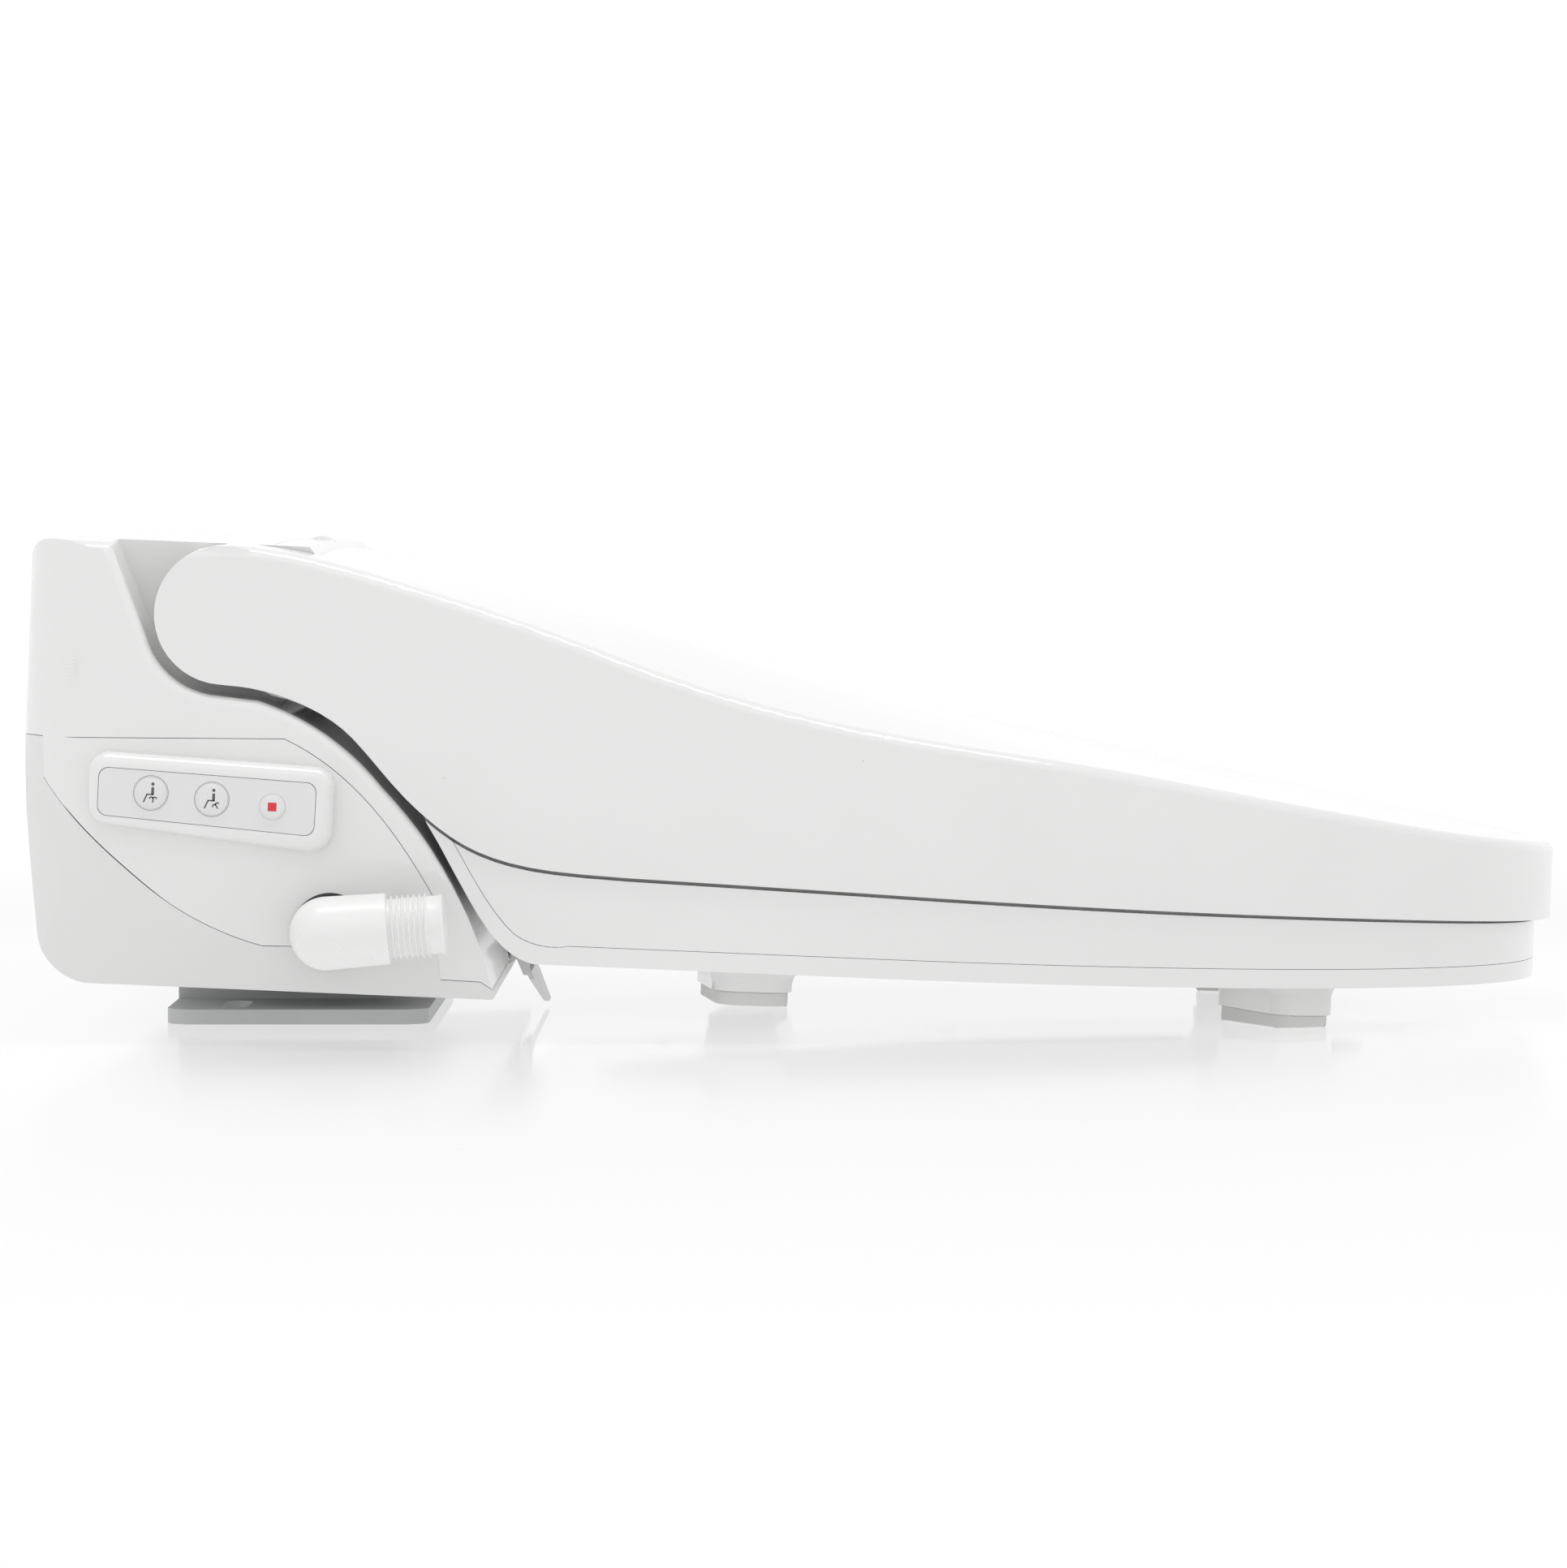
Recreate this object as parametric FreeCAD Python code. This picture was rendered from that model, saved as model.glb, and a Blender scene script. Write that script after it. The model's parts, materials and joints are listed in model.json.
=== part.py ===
"""Electric bidet seat: a hinged lid and seat ring on a rear housing that holds the washing gear.

Frame: the origin is midway between the two bowl bolts, on the underside of the mounting plate.
+X points to the front of the bowl, +Y to the user's left and +Z up. All lengths are in millimetres.

The seat unit is drawn level in its own frame and then leans forward by `lean_deg` on its plate,
so that the plate and the front bumpers stand on one plane.
"""
import FreeCAD, Part
import math
import os

Vec = FreeCAD.Vector

# ---- overall size and stance ----
half_width = 186.0          # side of the housing and of the lid
past_sides = half_width + 14.0   # reach of the cuts that go past both sides
rear_x = -65.0              # rear wall
front_x = 450.0             # front tip of the lid
deck_z = 143.0              # top of the housing at its sides
deck_crown = 2.0            # how much higher the deck is on the centre line
lean_deg = 2.4              # how far the unit leans forward
plate_lift = 17.7           # height of the unit's underside over the floor at X = 0
drawn_front_x = 450.0       # front tip that the side outlines of lid and ring are drawn for
ring_rear_x = 104.0         # behind this the outlines keep to the housing, whatever the length


def fitted_x(x):
    """A drawn place along the seat, carried to this seat's length."""
    share = (front_x - ring_rear_x) / (drawn_front_x - ring_rear_x)
    return x if x <= ring_rear_x else ring_rear_x + (x - ring_rear_x) * share


def fitted(outline):
    return [(fitted_x(x), z) for x, z in outline]


def eased(corners):
    """Points along the smooth curve through the corners, four to each stretch."""
    spline = Part.BSplineCurve()
    spline.interpolate([Vec(x, 0, z) for x, z in corners])
    return [(point.x, point.z) for point in spline.discretize(4 * (len(corners) - 1) + 1)]


# ---- hinge ----
pivot_x = 0.0
pivot_z = 121.0
ear_radius = 22.5           # rounded rear end of the lid
pocket_radius = 26.2        # hollow of the housing around the ear
pin_radius = 6.0
pin_play = 0.06             # radial clearance of a turning pin
ear_and_arm = 36.0          # width of a lid ear and a ring arm together
tongue_half = half_width - ear_and_arm  # half width of the middle block between the pivots
boss_long = 22.0            # depth of a pin's bearing in the middle block
damper_long = 35.6
pin_inner_y = tongue_half - boss_long - damper_long + 3.6  # end of a pin inside its damper
pin_end_gap = 0.5           # between a pin's outer end and the bottom of its bore
ear_skin = 4.0              # material over the pin's outer end
tongue_radius = 33.2        # front of the middle block
seat_tail_radius = 35.6     # rear of the seat ring, in front of the middle block
lid_tail_radius = 34.6      # rear edge of the lid, in front of the middle block
side_gap = 1.0              # sideways clearance between pieces on the pins

# ---- walls, seams and screws ----
wall = 3.0
seam = 0.2                  # gap between two fixed mouldings
lid_wall = 3.0
seat_wall = 3.0
screw_radius = 2.0
screw_head = 3.6

# ---- housing outline, seen from the side ----
HUMP_LOW = [(91, 2), (79, 33), (53, 67.5)]          # arc up the front of the housing
HUMP_HIGH = [(53, 67.5), (34.5, 83.6), (12, 93.8)]   # arc over its shoulder
LIP_X = -39.5                                        # front edge of the deck beside the ears
REAR_DECK = [(-65, 136.5), (-63, 141), (-58.5, 143)]  # rounded rear edge of the deck
REAR = [(-65, 136.5), (-65, 79), (-62.8, 55), (-59.8, 34), (-57, 16)]
REAR_FOOT = [(-57, 16), (-52.3, 6), (-41, 0)]        # rounded rear edge of the floor
deck_edge_round = 5.0         # rolled sides of the deck
rear_corner = 28.0          # rear corners seen from above
base_inset = 9.0            # how far the side walls draw in at the bottom
base_inset_z = 42.0         # height where they start to draw in
edge_round = 3.2            # rolled edges of the housing sides

# ---- seams of the housing side ----
SEAM_SWEEP = eased([(-56.8, 66), (-43, 50.6), (-29.4, 38.6), (-15.9, 28.2), (0, 19.7), (16, 14.5)])
SEAM_FRONT = [(73.9, 5.8), (86.9, 5.6), (95, 0.5)]
BASE_SEAM = [(-75, 79.3), (-57.6, 79.3)] + SEAM_SWEEP + [(72.6, 16)] + SEAM_FRONT
SIDE_TOP = [(-57.2, 79.3)] + eased([(21, 82), (34.4, 74.7), (47.9, 63.5), (61.7, 47.1),
                                    (75.7, 24.2), (79.6, 15.9)])

# ---- top panel ----
panel_rear_x = -57.0
panel_step_x = -42.5        # front edge beside the tongue
panel_front_x = 12.0
panel_margin = 9.0
panel_thick = 1.6
lens_x = 19.0
lens_radius = 4.5

# ---- control pod on the right-hand side ----
POD = [(-41, 75.9), (38, 73.4), (37.6, 45.6), (-40.6, 53)]
pod_corner = 6.5
pod_roll = 4.0              # rolled rim of its face
pod_out = 9.0               # how far the pod stands out of the side
LABEL = [(-37.3, 70.8), (32.4, 68.3), (32.1, 51.4), (-37.4, 55.6)]
label_corner = 3.2
label_thick = 0.8
wash_button_radius = 5.2
stop_button_radius = 4.1
button_play = 0.25
button_proud = 0.9
BUTTONS = {
    "button_rear_wash": (-20.5, 63.1, wash_button_radius),
    "button_front_wash": (-0.9, 61.9, wash_button_radius),
    "button_stop": (18.6, 60.3, stop_button_radius),
}

# ---- water inlet ----
inlet_x = 38.0
inlet_z = 20.9
inlet_stem_radius = 8.0
inlet_stem_play = 0.08
inlet_hole_radius = 12.0
inlet_axis_y = -(half_width + 17.0)  # middle of the elbow's threaded arm
inlet_pitch_deg = 7.0       # how far the arm points up
inlet_arm = 38.0            # from the swivel axis to the arm's end
inlet_thread_radius = 10.48
inlet_thread_depth = 1.0
inlet_thread_pitch = 1.8
inlet_thread_gap = 0.9      # between two threads, and the width of one
inlet_threads = 7
inlet_end_ring = 2.4        # plain ring at the end of the arm
inlet_neck_radius = 11.4    # at the thread's end of the ball
inlet_neck_length = 20.0
inlet_ball_radius = 11.8
inlet_bore_radius = 5.0
inlet_stem_y = -(half_width - 29.0)  # inner end of the stem
O_RING_Y = (-(half_width - 16.0), -(half_width - 22.5))
VALVE_Y = (-(half_width - 13.0), -(half_width - 50.0))
valve_middle_y = sum(VALVE_Y) / 2

# ---- lid, seen from the side ----
LID_EDGE = fitted([(3, 98.3), (15.2, 96.7), (28, 92.5), (39.1, 86.2), (50, 75.5), (61, 64), (70, 56.5),
            (79.8, 50.3), (98.4, 44.3), (120, 42.2), (166, 41), (245, 39), (324, 37), (410, 34.6),
            (460, 32)])
LID_CREASE = fitted([(-30, 143.2), (0, 143.2), (31.6, 139.6), (58, 133.2), (84.5, 126), (111, 117.7),
              (137.5, 108.8), (164, 101.2), (190, 95.5), (216.6, 91.3), (243, 88), (274, 84.4),
              (323, 77.2), (365, 70.4), (403, 64.4), (450, 57.4)])
LID_CROWN = [1.6, 1.6, 2.2, 4.4, 6.8, 8.6, 10.2, 10.8, 9.6, 7.6, 5.2, 2.2, 0.4, 0.4, 0.4, 0.4]
lid_nose_start = fitted_x(210.0)  # where the straight sides end and the elliptic nose starts
lid_crease_round = 4.0
lid_lip_high = 1.9          # lip along the lower edge
lid_lip_step = 0.45         # how far the lip is drawn in

# ---- seat ring ----
seat_side_inset = 1.4       # the ring's side inside the lid's
seat_front_inset = 5.2
seat_half_width = half_width - seat_side_inset
seat_front_x = front_x - seat_front_inset
seat_ledge_gap = 1.2        # between the lid's lower edge and the seat's ledge
seat_inset = 6.2            # how far the seat draws in under the lid's skirt
SEAT_SPLIT = [(115, 18.8), (104, 19), (98, 21.6), (93.4, 25.8), (85, 37), (73.4, 56), (58, 77)]
SEAT_BACK = [(104, 12.6), (97, 15.4), (91.6, 20), (82.5, 32.3), (70.3, 52.7), (54.5, 73.5),
             (41, 84.9), (27, 92.5), (16, 95.4)]
SEAT_TOP = fitted([(-30, 139), (0, 139), (22, 134), (45, 121), (70, 102), (95, 84), (120, 70),
            (150, 60.5), (185, 55), (230, 52), (300, 49.5), (380, 46.5), (470, 43)])
seat_bottom_z = 12.6
SEAT_ARM_Z = 134.0
seat_split_z = 18.8         # parting line of the two seat shells
seat_split_gap = 0.15
SEAT_SCREWS = [(fitted_x(140.0), half_width - 38.0), (fitted_x(245.0), half_width - 40.0),
               (fitted_x(402.0), 50.0)]
seat_heater_thick = 0.8
seat_arm_radius = 17.0
seat_arm_half = (tongue_half + side_gap, half_width - 15.6)
ring_front = 65.0           # width of the ring in front of its opening
ring_side = 86.0            # width of the ring beside its opening
hole_front_x = front_x - ring_front
hole_rear_x = 120.0
hole_half_width = half_width - ring_side
hole_flare = 9.0            # how much wider the opening is at the top

# ---- bumpers under the seat ring ----
mid_bumper = (fitted_x(172.0), half_width - 51.0, 24.0, 52.0, 8.0)        # x, |y|, width, length, angle
front_bumper = (fitted_x(350.0), half_width - 98.0, 20.0, 48.0, 24.0)
bumper_pad_thick = 4.6
BUMPER_FLARE = [(5.0, 1.2), (2.8, 1.8), (1.2, 2.9), (0.3, 4.3), (-0.3, 5.2)]  # below the ring, outwards
mid_bumper_z = 0.4          # underside of the middle pads
lid_buffer_radius = 5.0
LID_BUFFERS = [(fitted_x(120.0), half_width - 36.0), (fitted_x(330.0), half_width - 68.0)]
lid_buffer_gap = 0.4        # between a lid buffer and the seat

# ---- mounting plate ----
plate_rear_x = -22.0
plate_front_x = 66.0
plate_half_width = 96.0
plate_thick = 5.0
bolt_spacing = 140.0
bolt_slot_radius = 4.5
bolt_slot_length = 24.0
dock_half_width = 42.0
dock_rear_x = -38.0
dock_front_x = 52.0
dovetail_half = (19.0, 22.5)  # at its foot and at its top
dovetail_height = 4.6
dovetail_play = 0.3

# ---- nozzles ----
nozzle_pitch_deg = 33.0     # slope of the nozzle travel
nozzle_exit = (84.0, 15.0)  # where the nozzle line leaves the housing
nozzle_radius = 5.0
nozzle_length = 142.0
nozzle_travel = 85.0
nozzle_half_spacing = 14.0
nozzle_play = 0.4
rack_pitch = 2.4            # tooth spacing of the rack, along the nozzle
rack_half_depth = 0.6       # tooth height on each side of the pitch line
rack_line = nozzle_radius + 2.0  # pitch line over the nozzle's axis
rack_half_width = 2.0
rack_way_gap = 0.5          # room over and beside a rack where it passes a shell
tooth_backlash = 0.12       # how much less of the pitch a pinion's tooth fills
tooth_top_gap = 0.12        # between the end of a tooth and the floor of the gap facing it
tooth_share = 0.4           # tooth thickness at the pitch line, in pitches
pinion_teeth = 12
pinion_back = 50.0          # pinion behind the nozzle's exit, along the nozzle
pinion_width = 4.4
motor_radius = 9.8
motor_length = 16.0
motor_shaft_radius = 1.2
tray_half_width = nozzle_half_spacing + nozzle_radius + 5.0
tray_depth = nozzle_radius + 4.0
bay_half_width = 30.0       # opening in the front of the housing
bay_top_z = 27.0
GUARD_PIVOT = (93.0, 8.6)
guard_pin_radius = 1.5
guard_half_width = 28.0
guard_thick = 1.8
guard_tip = (102.5, -11.5)

# ---- drying and air ----
fan_x, fan_y, fan_z = 2.0, 72.0, 42.0
fan_radius = 27.0
fan_half = 15.0
fan_wall = 1.6
fan_blades = 18
fan_motor_length = 13.0
outlet_y = (58.0, 86.0)
outlet_z = (3.6, 13.4)
FLAP_PIVOT = (91.2, 13.6)
cartridge_box = (-34.0, 0.0, half_width - 54.0, half_width - 0.4, 48.0, 70.0)
cartridge_play = 0.5
sleeve_wall = 2.2

# ---- water tank ----
tank_box = (-46.0, 22.0, half_width - 80.0, half_width - 14.0, 8.0, 45.3)
tank_wall = 2.4
hose_radius = 4.0
hose_wall = 1.0
hose_x = -28.0
hose_z = 24.0
gland_x, gland_z = -33.0, 24.0
gland_radius = 6.0
cord_bore_radius = 3.2

# ---- control electronics ----
board_box = (-32.0, 22.0, -140.0, -50.0, 66.0, 67.6)
supply_box = (-16.0, 13.0, -138.0, -62.0, wall, 42.0)

# ---- case screws and release slide ----
CASE_SCREWS = [(-38.0, 94.0), (-38.0, -94.0), (34.0, 120.0), (34.0, -120.0)]
pillar_radius = 4.5
release_x = -28.0


# ---------------------------------------------------------------- basic shapes

def vec(x, z, y=0.0):
    """A point given in the side view."""
    return Vec(x, y, z)


def box(x0, x1, y0, y1, z0, z1):
    return Part.makeBox(x1 - x0, y1 - y0, z1 - z0, Vec(x0, y0, z0))


def rod(radius, start, end):
    """A round bar between two points."""
    axis = end - start
    return Part.makeCylinder(radius, axis.Length, start, axis)


def ring(outer, inner, start, end):
    return rod(outer, start, end).cut(rod(inner, start, end))


def rounded(solid, radius, direction):
    """Round the straight edges that run along one direction."""
    edges = []
    for edge in solid.Edges:
        if edge.Curve.TypeId != "Part::GeomLine":
            continue
        run = edge.Vertexes[1].Point - edge.Vertexes[0].Point
        if abs(run.normalize().dot(direction)) > 0.999:
            edges.append(edge)
    return solid.makeFillet(radius, edges)


def curve(points):
    """A smooth edge through side-view points."""
    spline = Part.BSplineCurve()
    spline.interpolate([vec(x, z) for x, z in points])
    return spline.toShape()


def line(start, end):
    return Part.makeLine(vec(*start), vec(*end))


def arc_about_pivot(radius, start_deg, end_deg):
    """An arc about the hinge axis in the side view, angles from +X towards +Z."""
    middle = (start_deg + end_deg) / 2
    ends = [about_pivot(radius, angle) for angle in (start_deg, middle, end_deg)]
    return Part.Arc(*[vec(*point) for point in ends]).toShape()


def about_pivot(radius, angle_deg):
    angle = math.radians(angle_deg)
    return pivot_x + radius * math.cos(angle), pivot_z + radius * math.sin(angle)


def side_prism(edges, y0, y1):
    """Extrude a closed side-view outline across the seat."""
    wire = Part.Wire(edges)
    face = Part.Face(wire)
    face.translate(Vec(0, y0, 0))
    return face.extrude(Vec(0, y1 - y0, 0))


def polygon_prism(points, y0, y1):
    loop = [vec(x, z, y0) for x, z in points]
    face = Part.Face(Part.makePolygon(loop + loop[:1]))
    return face.extrude(Vec(0, y1 - y0, 0))


def plan_prism(edges, z0, z1):
    """Extrude a closed outline seen from above."""
    face = Part.Face(Part.Wire(edges))
    face.translate(Vec(0, 0, z0))
    return face.extrude(Vec(0, 0, z1 - z0))


def fuse_all(shapes):
    return shapes[0].multiFuse(shapes[1:]) if len(shapes) > 1 else shapes[0]


def lean(shape):
    """Set a piece of the level unit down on its plate, leaning forward."""
    moved = shape.copy()
    turn = FreeCAD.Rotation(Vec(0, 1, 0), lean_deg)
    moved.Placement = FreeCAD.Placement(Vec(0, 0, plate_lift), turn).multiply(moved.Placement)
    return moved


def save(name, shape, level=False):
    """Write one node, after checking that it is made of closed solids."""
    solids = shape.Solids
    if not solids or any(s.Volume <= 0 for s in solids):
        raise ValueError(name + " is not solid")
    piece = solids[0] if len(solids) == 1 else Part.makeCompound(solids)
    piece = piece if level else lean(piece)
    piece.exportStep("parts/" + name + ".step")
    print(name, len(solids), round(sum(s.Volume for s in solids) / 1000, 2), piece.isValid())


# ---------------------------------------------------------------- housing

def housing_outline(inset):
    """The whole housing as one block, its skin drawn in by `inset`."""
    side = side_block(inset)
    tongue = tongue_block(inset)
    return side.fuse(tongue).removeSplitter()


def arc_through(start, middle, end):
    """A circular arc through three side-view points."""
    return Part.Arc(vec(*start), vec(*middle), vec(*end)).toShape()


def side_outline_edges():
    """The housing beside the middle block, seen from the side."""
    ear_start = about_pivot(pocket_radius, 262)
    ear_end = about_pivot(pocket_radius, 198)
    lip = (LIP_X, deck_z + deck_crown + 2)
    edges = [arc_through(*HUMP_LOW), arc_through(*HUMP_HIGH), line(HUMP_HIGH[-1], ear_start)]
    edges += [arc_about_pivot(pocket_radius, 262, 198), line(ear_end, lip)]
    edges += [line(lip, REAR_DECK[-1]), arc_through(*reversed(REAR_DECK))]
    edges += [line(a, b) for a, b in zip(REAR, REAR[1:])]
    edges += [arc_through(*REAR_FOOT), line(REAR_FOOT[-1], (HUMP_LOW[0][0], 0))]
    edges += [line((HUMP_LOW[0][0], 0), HUMP_LOW[0])]
    return edges


def envelope(inset):
    """Plan outline and cross-section of the housing, as one block."""
    half = half_width - inset
    corner = rear_corner - inset
    rear = rear_x + inset
    front = 100.0
    diagonal = corner * (1 - math.sqrt(0.5))
    plan = [
        Part.makeLine(Vec(front, -half, 0), Vec(rear + corner, -half, 0)),
        Part.Arc(Vec(rear + corner, -half, 0), Vec(rear + diagonal, -half + diagonal, 0),
                 Vec(rear, -half + corner, 0)).toShape(),
        Part.makeLine(Vec(rear, -half + corner, 0), Vec(rear, half - corner, 0)),
        Part.Arc(Vec(rear, half - corner, 0), Vec(rear + diagonal, half - diagonal, 0),
                 Vec(rear + corner, half, 0)).toShape(),
        Part.makeLine(Vec(rear + corner, half, 0), Vec(front, half, 0)),
        Part.makeLine(Vec(front, half, 0), Vec(front, -half, 0)),
    ]
    block = plan_prism(plan, -20, 180)
    top = deck_z - inset
    floor = inset
    foot = half - base_inset
    roll = deck_edge_round - inset
    bevel = roll * (1 - math.sqrt(0.5))
    shoulder = half - roll
    section = [
        Part.Arc(Vec(0, -shoulder, top), Vec(0, 0, top + deck_crown), Vec(0, shoulder, top)).toShape(),
        Part.Arc(Vec(0, shoulder, top), Vec(0, half - bevel, top - bevel),
                 Vec(0, half, top - roll)).toShape(),
        Part.makeLine(Vec(0, half, top - roll), Vec(0, half, base_inset_z)),
        Part.makeLine(Vec(0, half, base_inset_z), Vec(0, foot, floor)),
        Part.makeLine(Vec(0, foot, floor), Vec(0, -foot, floor)),
        Part.makeLine(Vec(0, -foot, floor), Vec(0, -half, base_inset_z)),
        Part.makeLine(Vec(0, -half, base_inset_z), Vec(0, -half, top - roll)),
        Part.Arc(Vec(0, -half, top - roll), Vec(0, -half + bevel, top - bevel),
                 Vec(0, -shoulder, top)).toShape(),
    ]
    face = Part.Face(Part.Wire(section))
    face.translate(Vec(-120, 0, 0))
    return block.common(face.extrude(Vec(300, 0, 0)))


def offset_prism(edges, inset, y0, y1):
    face = Part.Face(Part.Wire(edges))
    if inset:
        face = face.makeOffset2D(-inset, 2)
    face.translate(Vec(0, y0, 0))
    return face.extrude(Vec(0, y1 - y0, 0))


def side_block(inset):
    prism = offset_prism(side_outline_edges(), inset, -250, 250)
    return prism.common(envelope(inset))


def tongue_block(inset):
    half = tongue_half - inset
    barrel = rod(tongue_radius - inset, vec(pivot_x, pivot_z, -half), vec(pivot_x, pivot_z, half))
    back = box(-50, pivot_x, -half, half, 70, deck_z + 20)
    body = barrel.fuse(back)
    return body.common(envelope(inset))


# ---------------------------------------------------------------- lid

def half_width_at(x, half, nose_start, tip):
    """Half width of an outline with straight sides and an elliptic nose."""
    if x <= nose_start:
        return half
    return half * math.sqrt(max(0.0, 1 - ((x - nose_start) / (tip - nose_start)) ** 2))


def shell_plan(half, tip, rear, z0, z1):
    """Straight sides and an elliptic nose, seen from above, as a block."""
    reach = tip - lid_nose_start
    nose = Part.Ellipse(Vec(tip, 0, 0), Vec(lid_nose_start, half, 0), Vec(lid_nose_start, 0, 0))
    if reach < half:
        nose = Part.Ellipse(Vec(lid_nose_start, half, 0), Vec(tip, 0, 0),
                            Vec(lid_nose_start, 0, 0))
    start = nose.parameter(Vec(lid_nose_start, -half, 0))
    end = nose.parameter(Vec(lid_nose_start, half, 0))
    if end < start:
        end += 2 * math.pi
    edges = [
        Part.makeLine(Vec(rear, -half, 0), Vec(lid_nose_start, -half, 0)),
        Part.Edge(nose, start, end),
        Part.makeLine(Vec(lid_nose_start, half, 0), Vec(rear, half, 0)),
        Part.makeLine(Vec(rear, half, 0), Vec(rear, -half, 0)),
    ]
    return plan_prism(edges, z0, z1)


def crowned_block(drop):
    """Everything under the lid's top surface, lowered by `drop`."""
    reach = half_width + 19.0
    sections = []
    for (x, crease), crown in zip(LID_CREASE, LID_CROWN):
        half = max(half_width_at(x, half_width, lid_nose_start, front_x), 60.0)
        centre = crease + crown - drop
        side = centre - crown * (reach / half) ** 2
        arch = Part.Arc(Vec(x, -reach, side), Vec(x, 0, centre), Vec(x, reach, side)).toShape()
        edges = [
            arch,
            Part.makeLine(Vec(x, reach, side), Vec(x, reach, 0)),
            Part.makeLine(Vec(x, reach, 0), Vec(x, -reach, 0)),
            Part.makeLine(Vec(x, -reach, 0), Vec(x, -reach, side)),
        ]
        sections.append(Part.Wire(edges))
    return Part.makeLoft(sections, True, False)


def lid_side_edges():
    """The lid's side: round ear, lower edge and everything above them."""
    ear_foot = about_pivot(ear_radius, 268)
    ear_top = about_pivot(ear_radius, 95)
    top = 190.0
    return [
        arc_about_pivot(ear_radius, 268, 95),
        line(ear_top, (ear_top[0], top)),
        line((ear_top[0], top), (front_x + 20, top)),
        line((front_x + 20, top), LID_EDGE[-1]),
        curve(LID_EDGE),
        line(LID_EDGE[0], ear_foot),
    ]


def lid_lip_groove():
    """The shallow step that sets off a lip along the lid's lower edge."""
    low = LID_EDGE[1:]
    high = [(x + lid_lip_high * 0.5, z + lid_lip_high) for x, z in low]
    edges = [curve(low), line(low[-1], high[-1]), curve(high), line(high[0], low[0])]
    return side_prism(edges, -past_sides, past_sides).cut(lid_block(lid_lip_step))


def lid_block(inset):
    """The lid's outer form, drawn in by `inset`; it has no underside of its own."""
    plan = shell_plan(half_width - inset, front_x - inset, -40, 0, 190)
    return plan.common(crowned_block(inset))


def lid_pieces():
    outer = lid_block(0)
    crease = [e for e in outer.Edges if on_crease(e)]
    outer = outer.makeFillet(lid_crease_round, crease)
    shell = outer.cut(lid_block(lid_wall))
    side = side_prism(lid_side_edges(), -past_sides, past_sides)
    shell = shell.common(side).cut(lid_lip_groove())
    shell = shell.cut(tongue_keepout(lid_tail_radius, tongue_half + side_gap))
    ears = []
    inner_y = seat_arm_half[1] + side_gap
    for sign in (-1, 1):
        outer_y = half_width - 0.6
        ear = rod(ear_radius - 0.4, vec(pivot_x, pivot_z, sign * inner_y),
                  vec(pivot_x, pivot_z, sign * outer_y))
        ears.append(ear)
    shell = fuse_all([shell] + ears)
    shell = shell.cut(lid_arm_keepout())
    reach = half_width - ear_skin
    for sign in (-1, 1):
        play = pin_play if sign > 0 else 0.0
        shell = shell.cut(rod(pin_radius + play, vec(pivot_x, pivot_z, sign * tongue_half),
                              vec(pivot_x, pivot_z, sign * reach)))
    return {"lid_shell": shell.removeSplitter(), "lid_buffers": lid_buffers()}


def on_crease(edge):
    """True for the edges between the top and the skirt."""
    bounds = edge.BoundBox
    if bounds.ZMin < 40 or bounds.XLength < 20:
        return False
    middle = edge.valueAt((edge.FirstParameter + edge.LastParameter) / 2)
    return middle.z > 50 and middle.x > -39


def tongue_keepout(radius, half):
    """The room that the middle block takes from a turning piece."""
    barrel = rod(radius, vec(pivot_x, pivot_z, -half), vec(pivot_x, pivot_z, half))
    return barrel.fuse(box(-80, pivot_x, -half, half, 60, 200))


def lid_arm_keepout():
    """Room for the seat's arms under the rear of the lid."""
    cuts = []
    for sign in (-1, 1):
        low, high = sorted((sign * tongue_half, sign * (seat_arm_half[1] + side_gap)))
        cuts.append(rod(seat_arm_radius + 1.2, vec(pivot_x, pivot_z, low),
                        vec(pivot_x, pivot_z, high)))
        cuts.append(box(-40, 4, low, high, 70, pivot_z + 10))
    return fuse_all(cuts)


def lid_buffers():
    """Four rubber stops between lid and seat."""
    pads = []
    for x, y in LID_BUFFERS:
        for sign in (-1, 1):
            pads.append(rod(lid_buffer_radius, Vec(x, sign * y, seat_top_z(x) - seat_wall),
                            Vec(x, sign * y, deck_z)))
    seat = seat_block(0).translated(Vec(0, 0, lid_buffer_gap))
    return fuse_all(pads).common(lid_block(lid_wall)).cut(seat)


def seat_top_z(x):
    return interpolate(SEAT_TOP, x)


def interpolate(points, x):
    for (x0, z0), (x1, z1) in zip(points, points[1:]):
        if x0 <= x <= x1:
            return z0 + (z1 - z0) * (x - x0) / (x1 - x0)
    raise ValueError("outside the outline")


# ---------------------------------------------------------------- seat ring

def seat_hole(grow, z0, z1):
    """The opening of the seat ring, an ellipse-ended slot that flares upwards."""
    loops = []
    for z, flare in ((z0, 0.0), (z1, hole_flare)):
        loops.append(oval(hole_rear_x - grow - flare, hole_front_x + grow + flare,
                          hole_half_width + grow + flare, z))
    return Part.makeLoft(loops, True, True)


def oval(x0, x1, half, z):
    """An egg-shaped closed curve, fuller at the rear."""
    middle = x0 + (x1 - x0) * 0.46
    points = []
    for step in range(16):
        angle = 2 * math.pi * step / 16
        reach = (x1 - middle) if math.cos(angle) > 0 else (middle - x0)
        points.append(Vec(middle + reach * math.cos(angle), half * math.sin(angle), z))
    spline = Part.BSplineCurve()
    spline.interpolate(points, PeriodicFlag=True)
    return Part.Wire(spline.toShape())


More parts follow.
